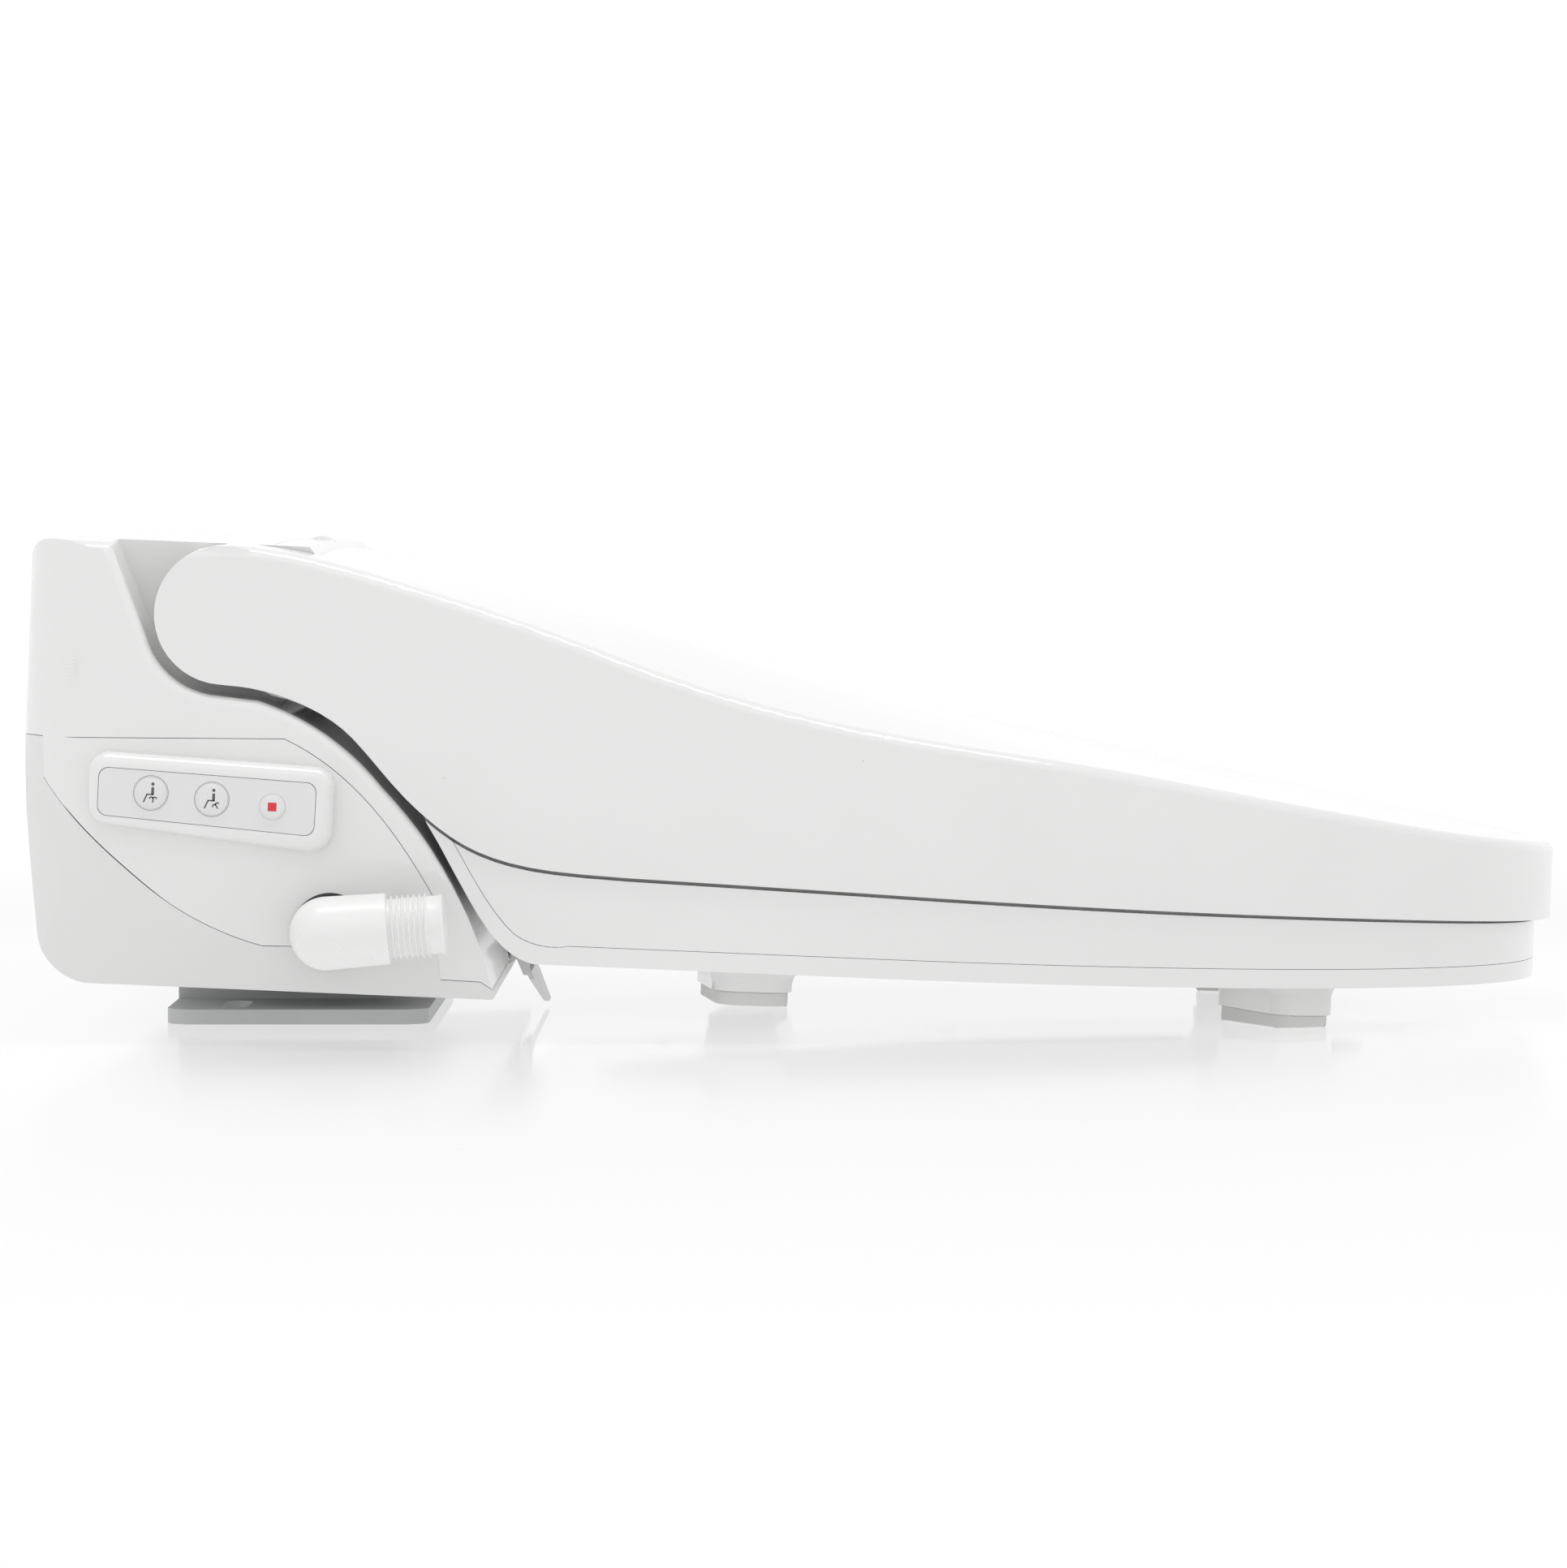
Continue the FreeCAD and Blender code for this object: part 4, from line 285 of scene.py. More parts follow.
    def _brushed(self) -> bpy.types.NodeTree:
        """Drawn or turned metal: fine lines across the piece and a few stains."""
        wiring, given, made = self._shell("drawn_metal", {
            "Color": ("NodeSocketColor", (0.6, 0.6, 0.6, 1)),
            "Shade": ("NodeSocketColor", (0.5, 0.5, 0.5, 1)),
            "Roughness": ("NodeSocketFloat", 0.3),
            "Spread": ("NodeSocketFloat", 0.2),
            "Size": ("NodeSocketFloat", 700.0),
        })
        place = wiring.add("ShaderNodeTexCoord").outputs["Object"]
        squeeze = wiring.add("ShaderNodeMapping")
        squeeze.inputs["Scale"].default_value = (1.0, 0.06, 1.0)
        wiring.join(place, squeeze.inputs["Vector"])
        lines = wiring.noise(squeeze.outputs["Vector"], given["Size"], 3.0)
        cloud = wiring.remap(wiring.noise(place, 60.0, 4.0), (0.35, 0.7), (0.0, 1.0))
        wiring.join(wiring.tint(cloud, given["Color"], given["Shade"]), made["Color"])
        offset = wiring.math("MULTIPLY", wiring.math("SUBTRACT", lines, 0.5), given["Spread"])
        wiring.join(wiring.math("ADD", given["Roughness"], offset), made["Roughness"])
        wiring.join(lines, made["Height"])
        return wiring.tree


# ---------------------------------------------------------------- finishes


@dataclass(frozen=True)
class Finish:
    """One finish: a colour with its variation, a texture and the shader's constants."""

    name: str
    colour: Colour
    shade: Colour
    pattern: Pattern
    roughness: float
    spread: float = 0.05
    size: float = 900.0
    relief_mm: float = 0.01
    metallic: float = 0.0
    coat: float = 0.0
    coat_roughness: float = 0.05
    subsurface: float = 0.0
    glow_depth_mm: float = 4.0
    specular: float = 0.5
    sheen: float = 0.0

    def build(self, groups: SurfaceGroups) -> bpy.types.Material:
        """Make the material.

        Args:
            groups: the shared surface effects.

        Returns:
            The finished material.
        """
        material = bpy.data.materials.new(self.name)
        material.use_nodes = True
        wiring = Wiring(material.node_tree)
        material.node_tree.nodes.clear()
        shader = wiring.add("ShaderNodeBsdfPrincipled")
        end = wiring.add("ShaderNodeOutputMaterial")
        wiring.join(shader.outputs["BSDF"], end.inputs["Surface"])
        constants = {
            "Metallic": self.metallic,
            "Coat Weight": self.coat,
            "Coat Roughness": self.coat_roughness,
            "Subsurface Weight": self.subsurface,
            "Subsurface Scale": self.glow_depth_mm * MM,
            "Specular IOR Level": self.specular,
            "Sheen Weight": self.sheen,
        }
        for name, value in constants.items():
            shader.inputs[name].default_value = value
        shader.inputs["Subsurface Radius"].default_value = (1.0, 0.9, 0.85)
        skin = wiring.add("ShaderNodeGroup", node_tree=groups.groups[self.pattern])
        skin.inputs["Color"].default_value = (*self.colour, 1.0)
        skin.inputs["Shade"].default_value = (*self.shade, 1.0)
        skin.inputs["Roughness"].default_value = self.roughness
        skin.inputs["Spread"].default_value = self.spread
        skin.inputs["Size"].default_value = self.size
        wiring.join(skin.outputs["Color"], shader.inputs["Base Color"])
        wiring.join(skin.outputs["Roughness"], shader.inputs["Roughness"])
        bump = wiring.add("ShaderNodeBump")
        bump.inputs["Strength"].default_value = 0.35
        bump.inputs["Distance"].default_value = self.relief_mm * MM
        wiring.join(skin.outputs["Height"], bump.inputs["Height"])
        wiring.join(bump.outputs["Normal"], shader.inputs["Normal"])
        return material


FINISHES = {
    "shell_white": Finish("glossy_white_shell", (0.845, 0.845, 0.84), (0.82, 0.82, 0.815),
                          Pattern.PEEL, 0.2, spread=0.06, relief_mm=0.012, coat=0.35),
    "shell_satin": Finish("satin_white_base", (0.80, 0.80, 0.795), (0.77, 0.77, 0.765),
                          Pattern.PEEL, 0.34, spread=0.08, relief_mm=0.02, coat=0.1),
    "seat_white": Finish("glossy_white_ring", (0.85, 0.85, 0.845), (0.83, 0.83, 0.825),
                         Pattern.PEEL, 0.17, spread=0.05, relief_mm=0.012, coat=0.45),
    "label_white": Finish("satin_label_film", (0.80, 0.80, 0.80), (0.78, 0.78, 0.78),
                          Pattern.GRAIN, 0.36, spread=0.06, size=2600.0, relief_mm=0.006),
    "button_white": Finish("button_film", (0.79, 0.79, 0.79), (0.77, 0.77, 0.77), Pattern.GRAIN,
                           0.28, spread=0.05, size=2600.0, relief_mm=0.004, coat=0.2),
    "stop_white": Finish("stop_button_film", (0.80, 0.80, 0.80), (0.78, 0.78, 0.78),
                         Pattern.GRAIN, 0.28, spread=0.05, size=2600.0, relief_mm=0.004, coat=0.2),
    "milky": Finish("milky_acetal", (0.90, 0.90, 0.895), (0.87, 0.87, 0.865), Pattern.PEEL, 0.26,
                    spread=0.08, size=700.0, relief_mm=0.01, subsurface=0.2, glow_depth_mm=2.0),
    "bumper_grey": Finish("pale_bumper_rubber", (0.72, 0.72, 0.71), (0.68, 0.68, 0.67),
                          Pattern.GRAIN, 0.48, spread=0.12, relief_mm=0.03, sheen=0.1),
    "rubber_black": Finish("ring_rubber", (0.03, 0.03, 0.03), (0.045, 0.045, 0.045),
                           Pattern.GRAIN, 0.5, relief_mm=0.02),
    "steel": Finish("stainless_steel", (0.60, 0.61, 0.62), (0.52, 0.53, 0.54), Pattern.BRUSHED,
                    0.3, spread=0.25, relief_mm=0.01, metallic=1.0),
    "lens": Finish("frosted_lens", (0.80, 0.80, 0.82), (0.76, 0.76, 0.79), Pattern.PEEL, 0.1,
                   relief_mm=0.004, subsurface=0.3, coat=0.6),
    "board": Finish("circuit_board", (0.03, 0.17, 0.07), (0.02, 0.12, 0.05), Pattern.GRAIN, 0.35,
                    size=900.0, relief_mm=0.03, coat=0.4),
    "inner_grey": Finish("grey_moulding", (0.58, 0.59, 0.59), (0.53, 0.54, 0.54), Pattern.GRAIN,
                         0.45, spread=0.12, relief_mm=0.03),
    "inner_black": Finish("black_moulding", (0.03, 0.03, 0.032), (0.045, 0.045, 0.048),
                          Pattern.GRAIN, 0.42, spread=0.12, relief_mm=0.03),
    "brass": Finish("turned_brass", (0.62, 0.46, 0.2), (0.5, 0.36, 0.16), Pattern.BRUSHED, 0.3,
                    spread=0.2, relief_mm=0.01, metallic=1.0),
    "foil": Finish("heating_foil", (0.7, 0.7, 0.69), (0.62, 0.62, 0.61), Pattern.BRUSHED, 0.32,
                   spread=0.25, size=300.0, relief_mm=0.05, metallic=1.0),
    "carbon": Finish("filter_drawer", (0.55, 0.56, 0.57), (0.5, 0.51, 0.52), Pattern.GRAIN, 0.45,
                     spread=0.12, relief_mm=0.03),
    "gear": Finish("acetal_gear", (0.78, 0.74, 0.62), (0.72, 0.68, 0.56), Pattern.PEEL, 0.3,
                   relief_mm=0.01, subsurface=0.2),
    "supply": Finish("painted_case", (0.14, 0.15, 0.17), (0.11, 0.12, 0.13), Pattern.PEEL, 0.35,
                     size=500.0, relief_mm=0.05, coat=0.3),
    "tank": Finish("tank_moulding", (0.62, 0.65, 0.65), (0.58, 0.61, 0.61), Pattern.PEEL, 0.35,
                   relief_mm=0.02, subsurface=0.3),
    "ink": Finish("grey_print", (0.09, 0.09, 0.092), (0.11, 0.11, 0.112), Pattern.GRAIN, 0.5,
                  size=3000.0, relief_mm=0.003),
    # ring_ink colours both the printed rings round the wash buttons and the painted shade on the
    # label's outer wall, in the gap around the label.
    "ring_ink": Finish("ring_print_and_gap_shade", (0.22, 0.22, 0.22), (0.26, 0.26, 0.26), Pattern.GRAIN, 0.45,
                       size=3000.0, relief_mm=0.003),
    "red_ink": Finish("red_print", (0.75, 0.045, 0.055), (0.68, 0.035, 0.045), Pattern.GRAIN, 0.4,
                      size=3000.0, relief_mm=0.003),
}


class Palette:
    """Every finish of the seat, built once."""

    def __init__(self) -> None:
        """Build the shared groups and the materials."""
        groups = SurfaceGroups()
        self.materials = {key: finish.build(groups) for key, finish in FINISHES.items()}

    def dress(self, piece: bpy.types.Object, finish: str, slot: str | None = None) -> None:
        """Give a piece its finish.

        Args:
            piece: the mesh object.
            finish: key of the finish.
            slot: the record's material slot, if the piece names one; not used.
        """
        piece.data.materials.clear()
        piece.data.materials.append(self.materials[finish])


# ---------------------------------------------------------------- mesh work


def unit_turn(origin: Vector) -> Matrix:
    """The placement of something that stands square in the leaning unit.

    Args:
        origin: where its own origin goes, in the row frame.

    Returns:
        The matrix that sets it there.
    """
    return Matrix.Translation(origin) @ Matrix.Rotation(math.radians(LEAN_DEG), 4, "Y")


def facing_right(origin: Vector) -> Matrix:
    """The placement of a flat detail on the right-hand side, drawn in XY with +Z outwards.

    Args:
        origin: where its middle goes, in the row frame.

    Returns:
        The matrix that stands it up and turns it to face -Y.
    """
    return unit_turn(origin) @ Matrix.Rotation(math.radians(90), 4, "X")


class Workbench:
    """Turns bmeshes into pieces that ride on the frame."""

    def __init__(self, palette: Palette) -> None:
        """Keep the finishes and count the pieces."""
        self.palette = palette
        self.count = 0

    def piece(self, name: str, mesh: bmesh.types.BMesh, body: str, finish: str,
              replaced: Iterable[str] = (), sharp_deg: float = 35.0) -> bpy.types.Object:
        """Make a finished piece out of a bmesh in the row frame.

        Args:
            name: name of the piece.
            mesh: its shape; it is freed here.
            body: the CAD body that it rides on.
            finish: key of its finish.
            replaced: CAD nodes that it stands for.
            sharp_deg: edges that turn more than this stay sharp.

        Returns:
            The new object.
        """
        for face in mesh.faces:
            face.smooth = True
        limit = math.radians(sharp_deg)
        for edge in mesh.edges:
            edge.smooth = len(edge.link_faces) == 2 and edge.calc_face_angle(0.0) < limit
        data = bpy.data.meshes.new(name)
        mesh.to_mesh(data)
        mesh.free()
        made = bpy.data.objects.new(name, data)
        bpy.context.scene.collection.objects.link(made)
        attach(made, body)
        if replaced:
            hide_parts(*replaced)
        slot = finish if finish in SLOT_OF_NODE.values() else None
        self.palette.dress(made, finish, slot)
        self.count += 1
        LOG.info("%s rides on %s, %d faces", name, body, len(data.polygons))
        return made

    def casting(self, node: str, finish: str | None = None, sharp_deg: float = 30.0,
                roll_mm: float = 0.0) -> bpy.types.Object:
        """Take a CAD node over with merged corners, smooth curves and soft edges.

        Args:
            node: name of the CAD node.
            finish: key of its finish, or None for its own slot.
            sharp_deg: edges that turn more than this stay sharp.
            roll_mm: width of the bevel on its sharp edges.

        Returns:
            The new object.
        """
        source = frame["nodes"][node]
        mesh = bmesh.new()
        mesh.from_mesh(source.data)
        bmesh.ops.remove_doubles(mesh, verts=mesh.verts, dist=2e-6)
        made = self.piece(node + "_finished", mesh, source["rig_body"],
                          finish or SLOT_OF_NODE[node], (node,), sharp_deg)
        if roll_mm:
            bevel = made.modifiers.new("rolled_edges", "BEVEL")
            bevel.width = roll_mm * MM
            bevel.segments = 2
            bevel.limit_method = "ANGLE"
            bevel.angle_limit = math.radians(sharp_deg)
            bevel.use_clamp_overlap = False
        steady = made.modifiers.new("steady_shading", "WEIGHTED_NORMAL")
        steady.keep_sharp = True
        steady.weight = 80
        return made


def lathe(profile: Sequence[tuple[float, float]], steps: int = 64) -> bmesh.types.BMesh:
    """Turn a profile about Z.

    Args:
        profile: (radius, height) pairs in millimetres, from one end to the other.
        steps: number of facets around.

    Returns:
        The turned shape, with outward faces.
    """
    mesh = bmesh.new()
    corners = [mesh.verts.new((radius * MM, 0.0, height * MM)) for radius, height in profile]
    for first, second in zip(corners, corners[1:]):
        mesh.edges.new((first, second))
    bmesh.ops.spin(mesh, geom=mesh.verts[:] + mesh.edges[:], cent=(0, 0, 0), axis=(0, 0, 1),
                   angle=2 * math.pi, steps=steps, use_merge=True)
    bmesh.ops.remove_doubles(mesh, verts=mesh.verts, dist=1e-7)
    bmesh.ops.dissolve_degenerate(mesh, edges=mesh.edges, dist=1e-8)
    bmesh.ops.recalc_face_normals(mesh, faces=mesh.faces)
    return mesh


def place(mesh: bmesh.types.BMesh, matrix: Matrix) -> bmesh.types.BMesh:
    """Carry a shape to its place in the row frame.

    Args:
        mesh: the shape.
        matrix: its placement.

    Returns:
        The same shape.
    """
    bmesh.ops.transform(mesh, matrix=matrix, verts=mesh.verts)
    return mesh


def joined(shapes: Sequence[bmesh.types.BMesh]) -> bmesh.types.BMesh:
    """Put several shapes in one mesh.

    Args:
        shapes: the shapes; all but the first are freed.

    Returns:
        The first shape, which now holds them all.
    """
    first = shapes[0]
    for other in shapes[1:]:
        carrier = bpy.data.meshes.new("carrier")
        other.to_mesh(carrier)
        other.free()
        first.from_mesh(carrier)
        bpy.data.meshes.remove(carrier)
    return first


def slab(start: tuple[float, float], end: tuple[float, float], width: float,
         height: float) -> bmesh.types.BMesh:
    """A stroke with round ends, lying on Z = 0.

    Args:
        start: one end of its middle line, in millimetres.
        end: the other end.
        width: width of the stroke.
        height: how far it stands up.

    Returns:
        The stroke.
    """
    run = Vector(end) - Vector(start)
    mesh = bmesh.new()
    bmesh.ops.create_cube(mesh, size=1.0)
    scale = Matrix.Diagonal((run.length + width, width, height, 1.0))
    middle = (Vector(start) + Vector(end)) / 2
    turn = Matrix.Rotation(math.atan2(run.y, run.x), 4, "Z")
    lift = Matrix.Translation((middle.x, middle.y, height / 2))
    bmesh.ops.transform(mesh, matrix=lift @ turn @ scale, verts=mesh.verts)
    upright = [edge for edge in mesh.edges
               if abs(edge.verts[0].co.z - edge.verts[1].co.z) > height / 2]
    bmesh.ops.bevel(mesh, geom=upright, offset=width * 0.49, segments=5, profile=0.5,
                    affect="EDGES", material=-1)
    bmesh.ops.scale(mesh, vec=(MM, MM, MM), verts=mesh.verts)
    return mesh


def bow(centre: tuple[float, float], radius: float, start_deg: float, sweep_deg: float,
        width: float, height: float) -> bmesh.types.BMesh:
    """A curved stroke, lying on Z = 0.

    Args:
        centre: centre of its arc, in millimetres.
        radius: radius of its middle line.
        start_deg: where the arc starts.
        sweep_deg: how far it turns.
        width: width of the stroke.
        height: how far it stands up.

    Returns:
        The stroke.
    """
    mesh = bmesh.new()
    half = width / 2
    corners = [mesh.verts.new((radius + side, 0.0, level))
               for side, level in ((-half, 0.0), (half, 0.0), (half, height), (-half, height))]
    rim = [mesh.edges.new((corners[index], corners[(index + 1) % 4])) for index in range(4)]
    bmesh.ops.rotate(mesh, verts=corners, cent=(0, 0, 0),
                     matrix=Matrix.Rotation(math.radians(start_deg), 3, "Z"))
    bmesh.ops.spin(mesh, geom=corners + rim, cent=(0, 0, 0), axis=(0, 0, 1),
                   angle=math.radians(sweep_deg), steps=12)
    bmesh.ops.holes_fill(mesh, edges=[edge for edge in mesh.edges if edge.is_boundary], sides=4)
    bmesh.ops.recalc_face_normals(mesh, faces=mesh.faces)
    bmesh.ops.translate(mesh, vec=(*centre, 0.0), verts=mesh.verts)
    bmesh.ops.scale(mesh, vec=(MM, MM, MM), verts=mesh.verts)
    return mesh


def band(inner: float, outer: float, height: float) -> bmesh.types.BMesh:
    """A flat ring on Z = 0, in millimetres."""
    return lathe([(inner, 0), (outer, 0), (outer, height), (inner, height), (inner, 0)], 96)


# ---------------------------------------------------------------- controls


class Wash(Enum):
    """What a wash button does, as the lean of its spray sign in degrees."""

    REAR = 0.0
    FRONT = 32.0


@dataclass
class ControlPod:
    """The raised pod with its label, buttons and printed signs."""

    bench: Workbench
    flange: float = 1.2          # how far a button's hidden flange stands out around it
    film: float = 0.05           # thickness of print
    cap_flat: float = 3.95       # raised middle of a button of the wash buttons' radius
    cap_radius: float = 5.2      # radius that cap_flat belongs to
    cap_lift: float = 0.28
    flange_span: tuple[float, float] = (4.2, 5.4)   # depth of the hidden flange's two faces
    ring_gap: float = 0.32       # from a button to the printed ring around it
    ring_width: float = 0.15
    stop_mark: float = 2.8       # side of the red square
    stroke: float = 0.42         # line width of the signs
    head: float = 0.52           # radius of the seated figure's head
    spray_bow: float = 0.56      # radius of the spray's two falling arcs
    joint: float = 0.09          # thickness of the dark grey skin on the label's outer wall: painted shade in the gap around the label
    collar_gap: float = 0.05     # from a button to the film drawn up to it
    collar_lap: float = 0.2      # how far that film reaches under the printed ring
    signs: dict[str, Wash] = field(default_factory=lambda: {
        "button_rear_wash": Wash.REAR, "button_front_wash": Wash.FRONT})

    def build(self) -> None:
        """Build the label, the caps, what is printed on them and the painted shade around the
        label.
        """
        self.bench.casting("side_cover_right", sharp_deg=24.0)
        self.bench.casting("control_label", sharp_deg=24.0)
        for name in (*self.signs, "button_stop"):
            self.cap(name)
            self.gap_film(name)
        for name, wash in self.signs.items():
            self.ring(name)
            self.sign(name, wash)
        self.stop()
        self.label_gap_shade()

    def face(self, name: str) -> tuple[Vector, float, float]:
        """Where a button's face is.

        Args:
            name: CAD node of the button.

        Returns:
            The middle of its outer face, its radius and its depth in millimetres.
        """
        low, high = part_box(name)
        middle = Vector(((low.x + high.x) / 2, low.y, (low.z + high.z) / 2))
        radius = (high.z - low.z) / 2 / MM - self.flange
        return middle, radius, (high.y - low.y) / MM

    def cap(self, name: str) -> None:
        """A button with a rolled rim and a slightly raised middle."""
        middle, radius, depth = self.face(name)
        flat = self.cap_flat * radius / self.cap_radius
        lift = self.cap_lift
        top, foot = self.flange_span
        profile = [(0, 0), (flat, 0), (flat + 0.12, -0.03), (flat + 0.26, -lift + 0.04),
                   (flat + 0.4, -lift), (radius - 0.45, -lift), (radius - 0.14, -lift - 0.12),
                   (radius, -lift - 0.42), (radius, -top), (radius + self.flange, -top),
                   (radius + self.flange, -foot), (radius, -foot), (radius, -depth), (0, -depth)]
        mesh = place(lathe(profile, 96), facing_right(middle))
        finish = SLOT_OF_NODE[name]
        self.bench.piece(name + "_cap", mesh, name, finish, (name,), 40.0)

    def ring(self, name: str) -> None:
        """The fine printed ring on the label around a wash button."""
        middle, radius, _ = self.face(name)
        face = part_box("control_label")[0].y
        inner = radius + self.ring_gap
        mesh = band(inner, inner + self.ring_width, self.film)
        spot = Vector((middle.x, face, middle.z))
        self.bench.piece(name + "_ring", place(mesh, facing_right(spot)), "housing", "ring_ink")

    def sign(self, name: str, wash: Wash) -> None:
        """A seated figure over a spray, printed on the raised middle."""
        middle, _, _ = self.face(name)
        film, line = self.film, self.stroke
        back_x, seat_y, knee_x = 0.65, -0.4, -1.1
        head = band(0.0, self.head, film)
        place(head, Matrix.Translation((back_x * MM, 2.95 * MM, 0)))
        shapes = [
            head,
            slab((back_x, 1.55), (back_x, seat_y + 0.28), 0.9, film),
            slab((back_x + 0.2, seat_y), (knee_x, seat_y), line, film),
            slab((knee_x, seat_y), (-2.15, -2.8), line, film),
        ]
        spray = joined([
            slab((0, -0.55), (0, -2.0), line, film),
            bow((-self.spray_bow, -0.95), self.spray_bow, 0, 180, line, film),
            bow((self.spray_bow, -0.95), self.spray_bow, 0, 180, line, film),
        ])
        lean = Matrix.Rotation(math.radians(wash.value), 4, "Z")
        spot = (0.85, -0.85) if wash is Wash.REAR else (0.95, -1.05)
        place(spray, Matrix.Translation((spot[0] * MM, spot[1] * MM, 0)) @ lean)
        mesh = joined([*shapes, spray])
        self.bench.piece(name + "_sign", place(mesh, facing_right(middle)), name, "ink")

    def stop(self) -> None:
        """The red square of the stop button."""
        middle, _, _ = self.face("button_stop")
        mesh = bmesh.new()
        bmesh.ops.create_cube(mesh, size=1.0)
        bmesh.ops.scale(mesh, vec=(self.stop_mark, self.stop_mark, self.film), verts=mesh.verts)
        corners = [edge for edge in mesh.edges
                   if abs(edge.verts[0].co.z - edge.verts[1].co.z) > self.film / 2]
        bmesh.ops.bevel(mesh, geom=corners, offset=0.18, segments=3, profile=0.5,
                        affect="EDGES", material=-1)
        bmesh.ops.scale(mesh, vec=(MM, MM, MM), verts=mesh.verts)
        self.bench.piece("button_stop_mark", place(mesh, facing_right(middle)), "button_stop",
                         "red_ink")

    def label_gap_shade(self) -> None:
        """A dark grey skin on the label's outer wall: painted shade that darkens the real gap
        around the label.
        """
        mesh = bmesh.new()
        mesh.from_mesh(frame["nodes"]["control_label"].data)
        bmesh.ops.remove_doubles(mesh, verts=mesh.verts, dist=2e-6)
        bores = [self.face(name)[:2] for name in (*self.signs, "button_stop")]

        def spare(face: bmesh.types.BMFace) -> bool:
            """Whether a face is no part of the label's outer wall."""
            spot = face.calc_center_median()
            near = any(math.hypot(spot.x - middle.x, spot.z - middle.z) < (radius + 1.0) * MM
                       for middle, radius in bores)
            return near or abs(face.normal.y) > 0.5

        bmesh.ops.delete(mesh, geom=[face for face in mesh.faces if spare(face)], context="FACES")
        # The dark grey skin is painted shade in the gap around the label.
        bmesh.ops.solidify(mesh, geom=mesh.faces[:], thickness=-self.joint * MM)
        self.bench.piece("label_gap_shade", mesh, "housing", "ring_ink")

    def gap_film(self, name: str) -> None:
        """The label's own film drawn up to the button, with only a fine gap left."""
        middle, radius, _ = self.face(name)
        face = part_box("control_label")[0].y
        mesh = band(radius + self.collar_gap, radius + self.ring_gap + self.collar_lap,
                    self.film * 0.6)
        spot = Vector((middle.x, face, middle.z))
        self.bench.piece(name + "_collar", place(mesh, facing_right(spot)), "housing",
                         "label_white")


# ---------------------------------------------------------------- water inlet


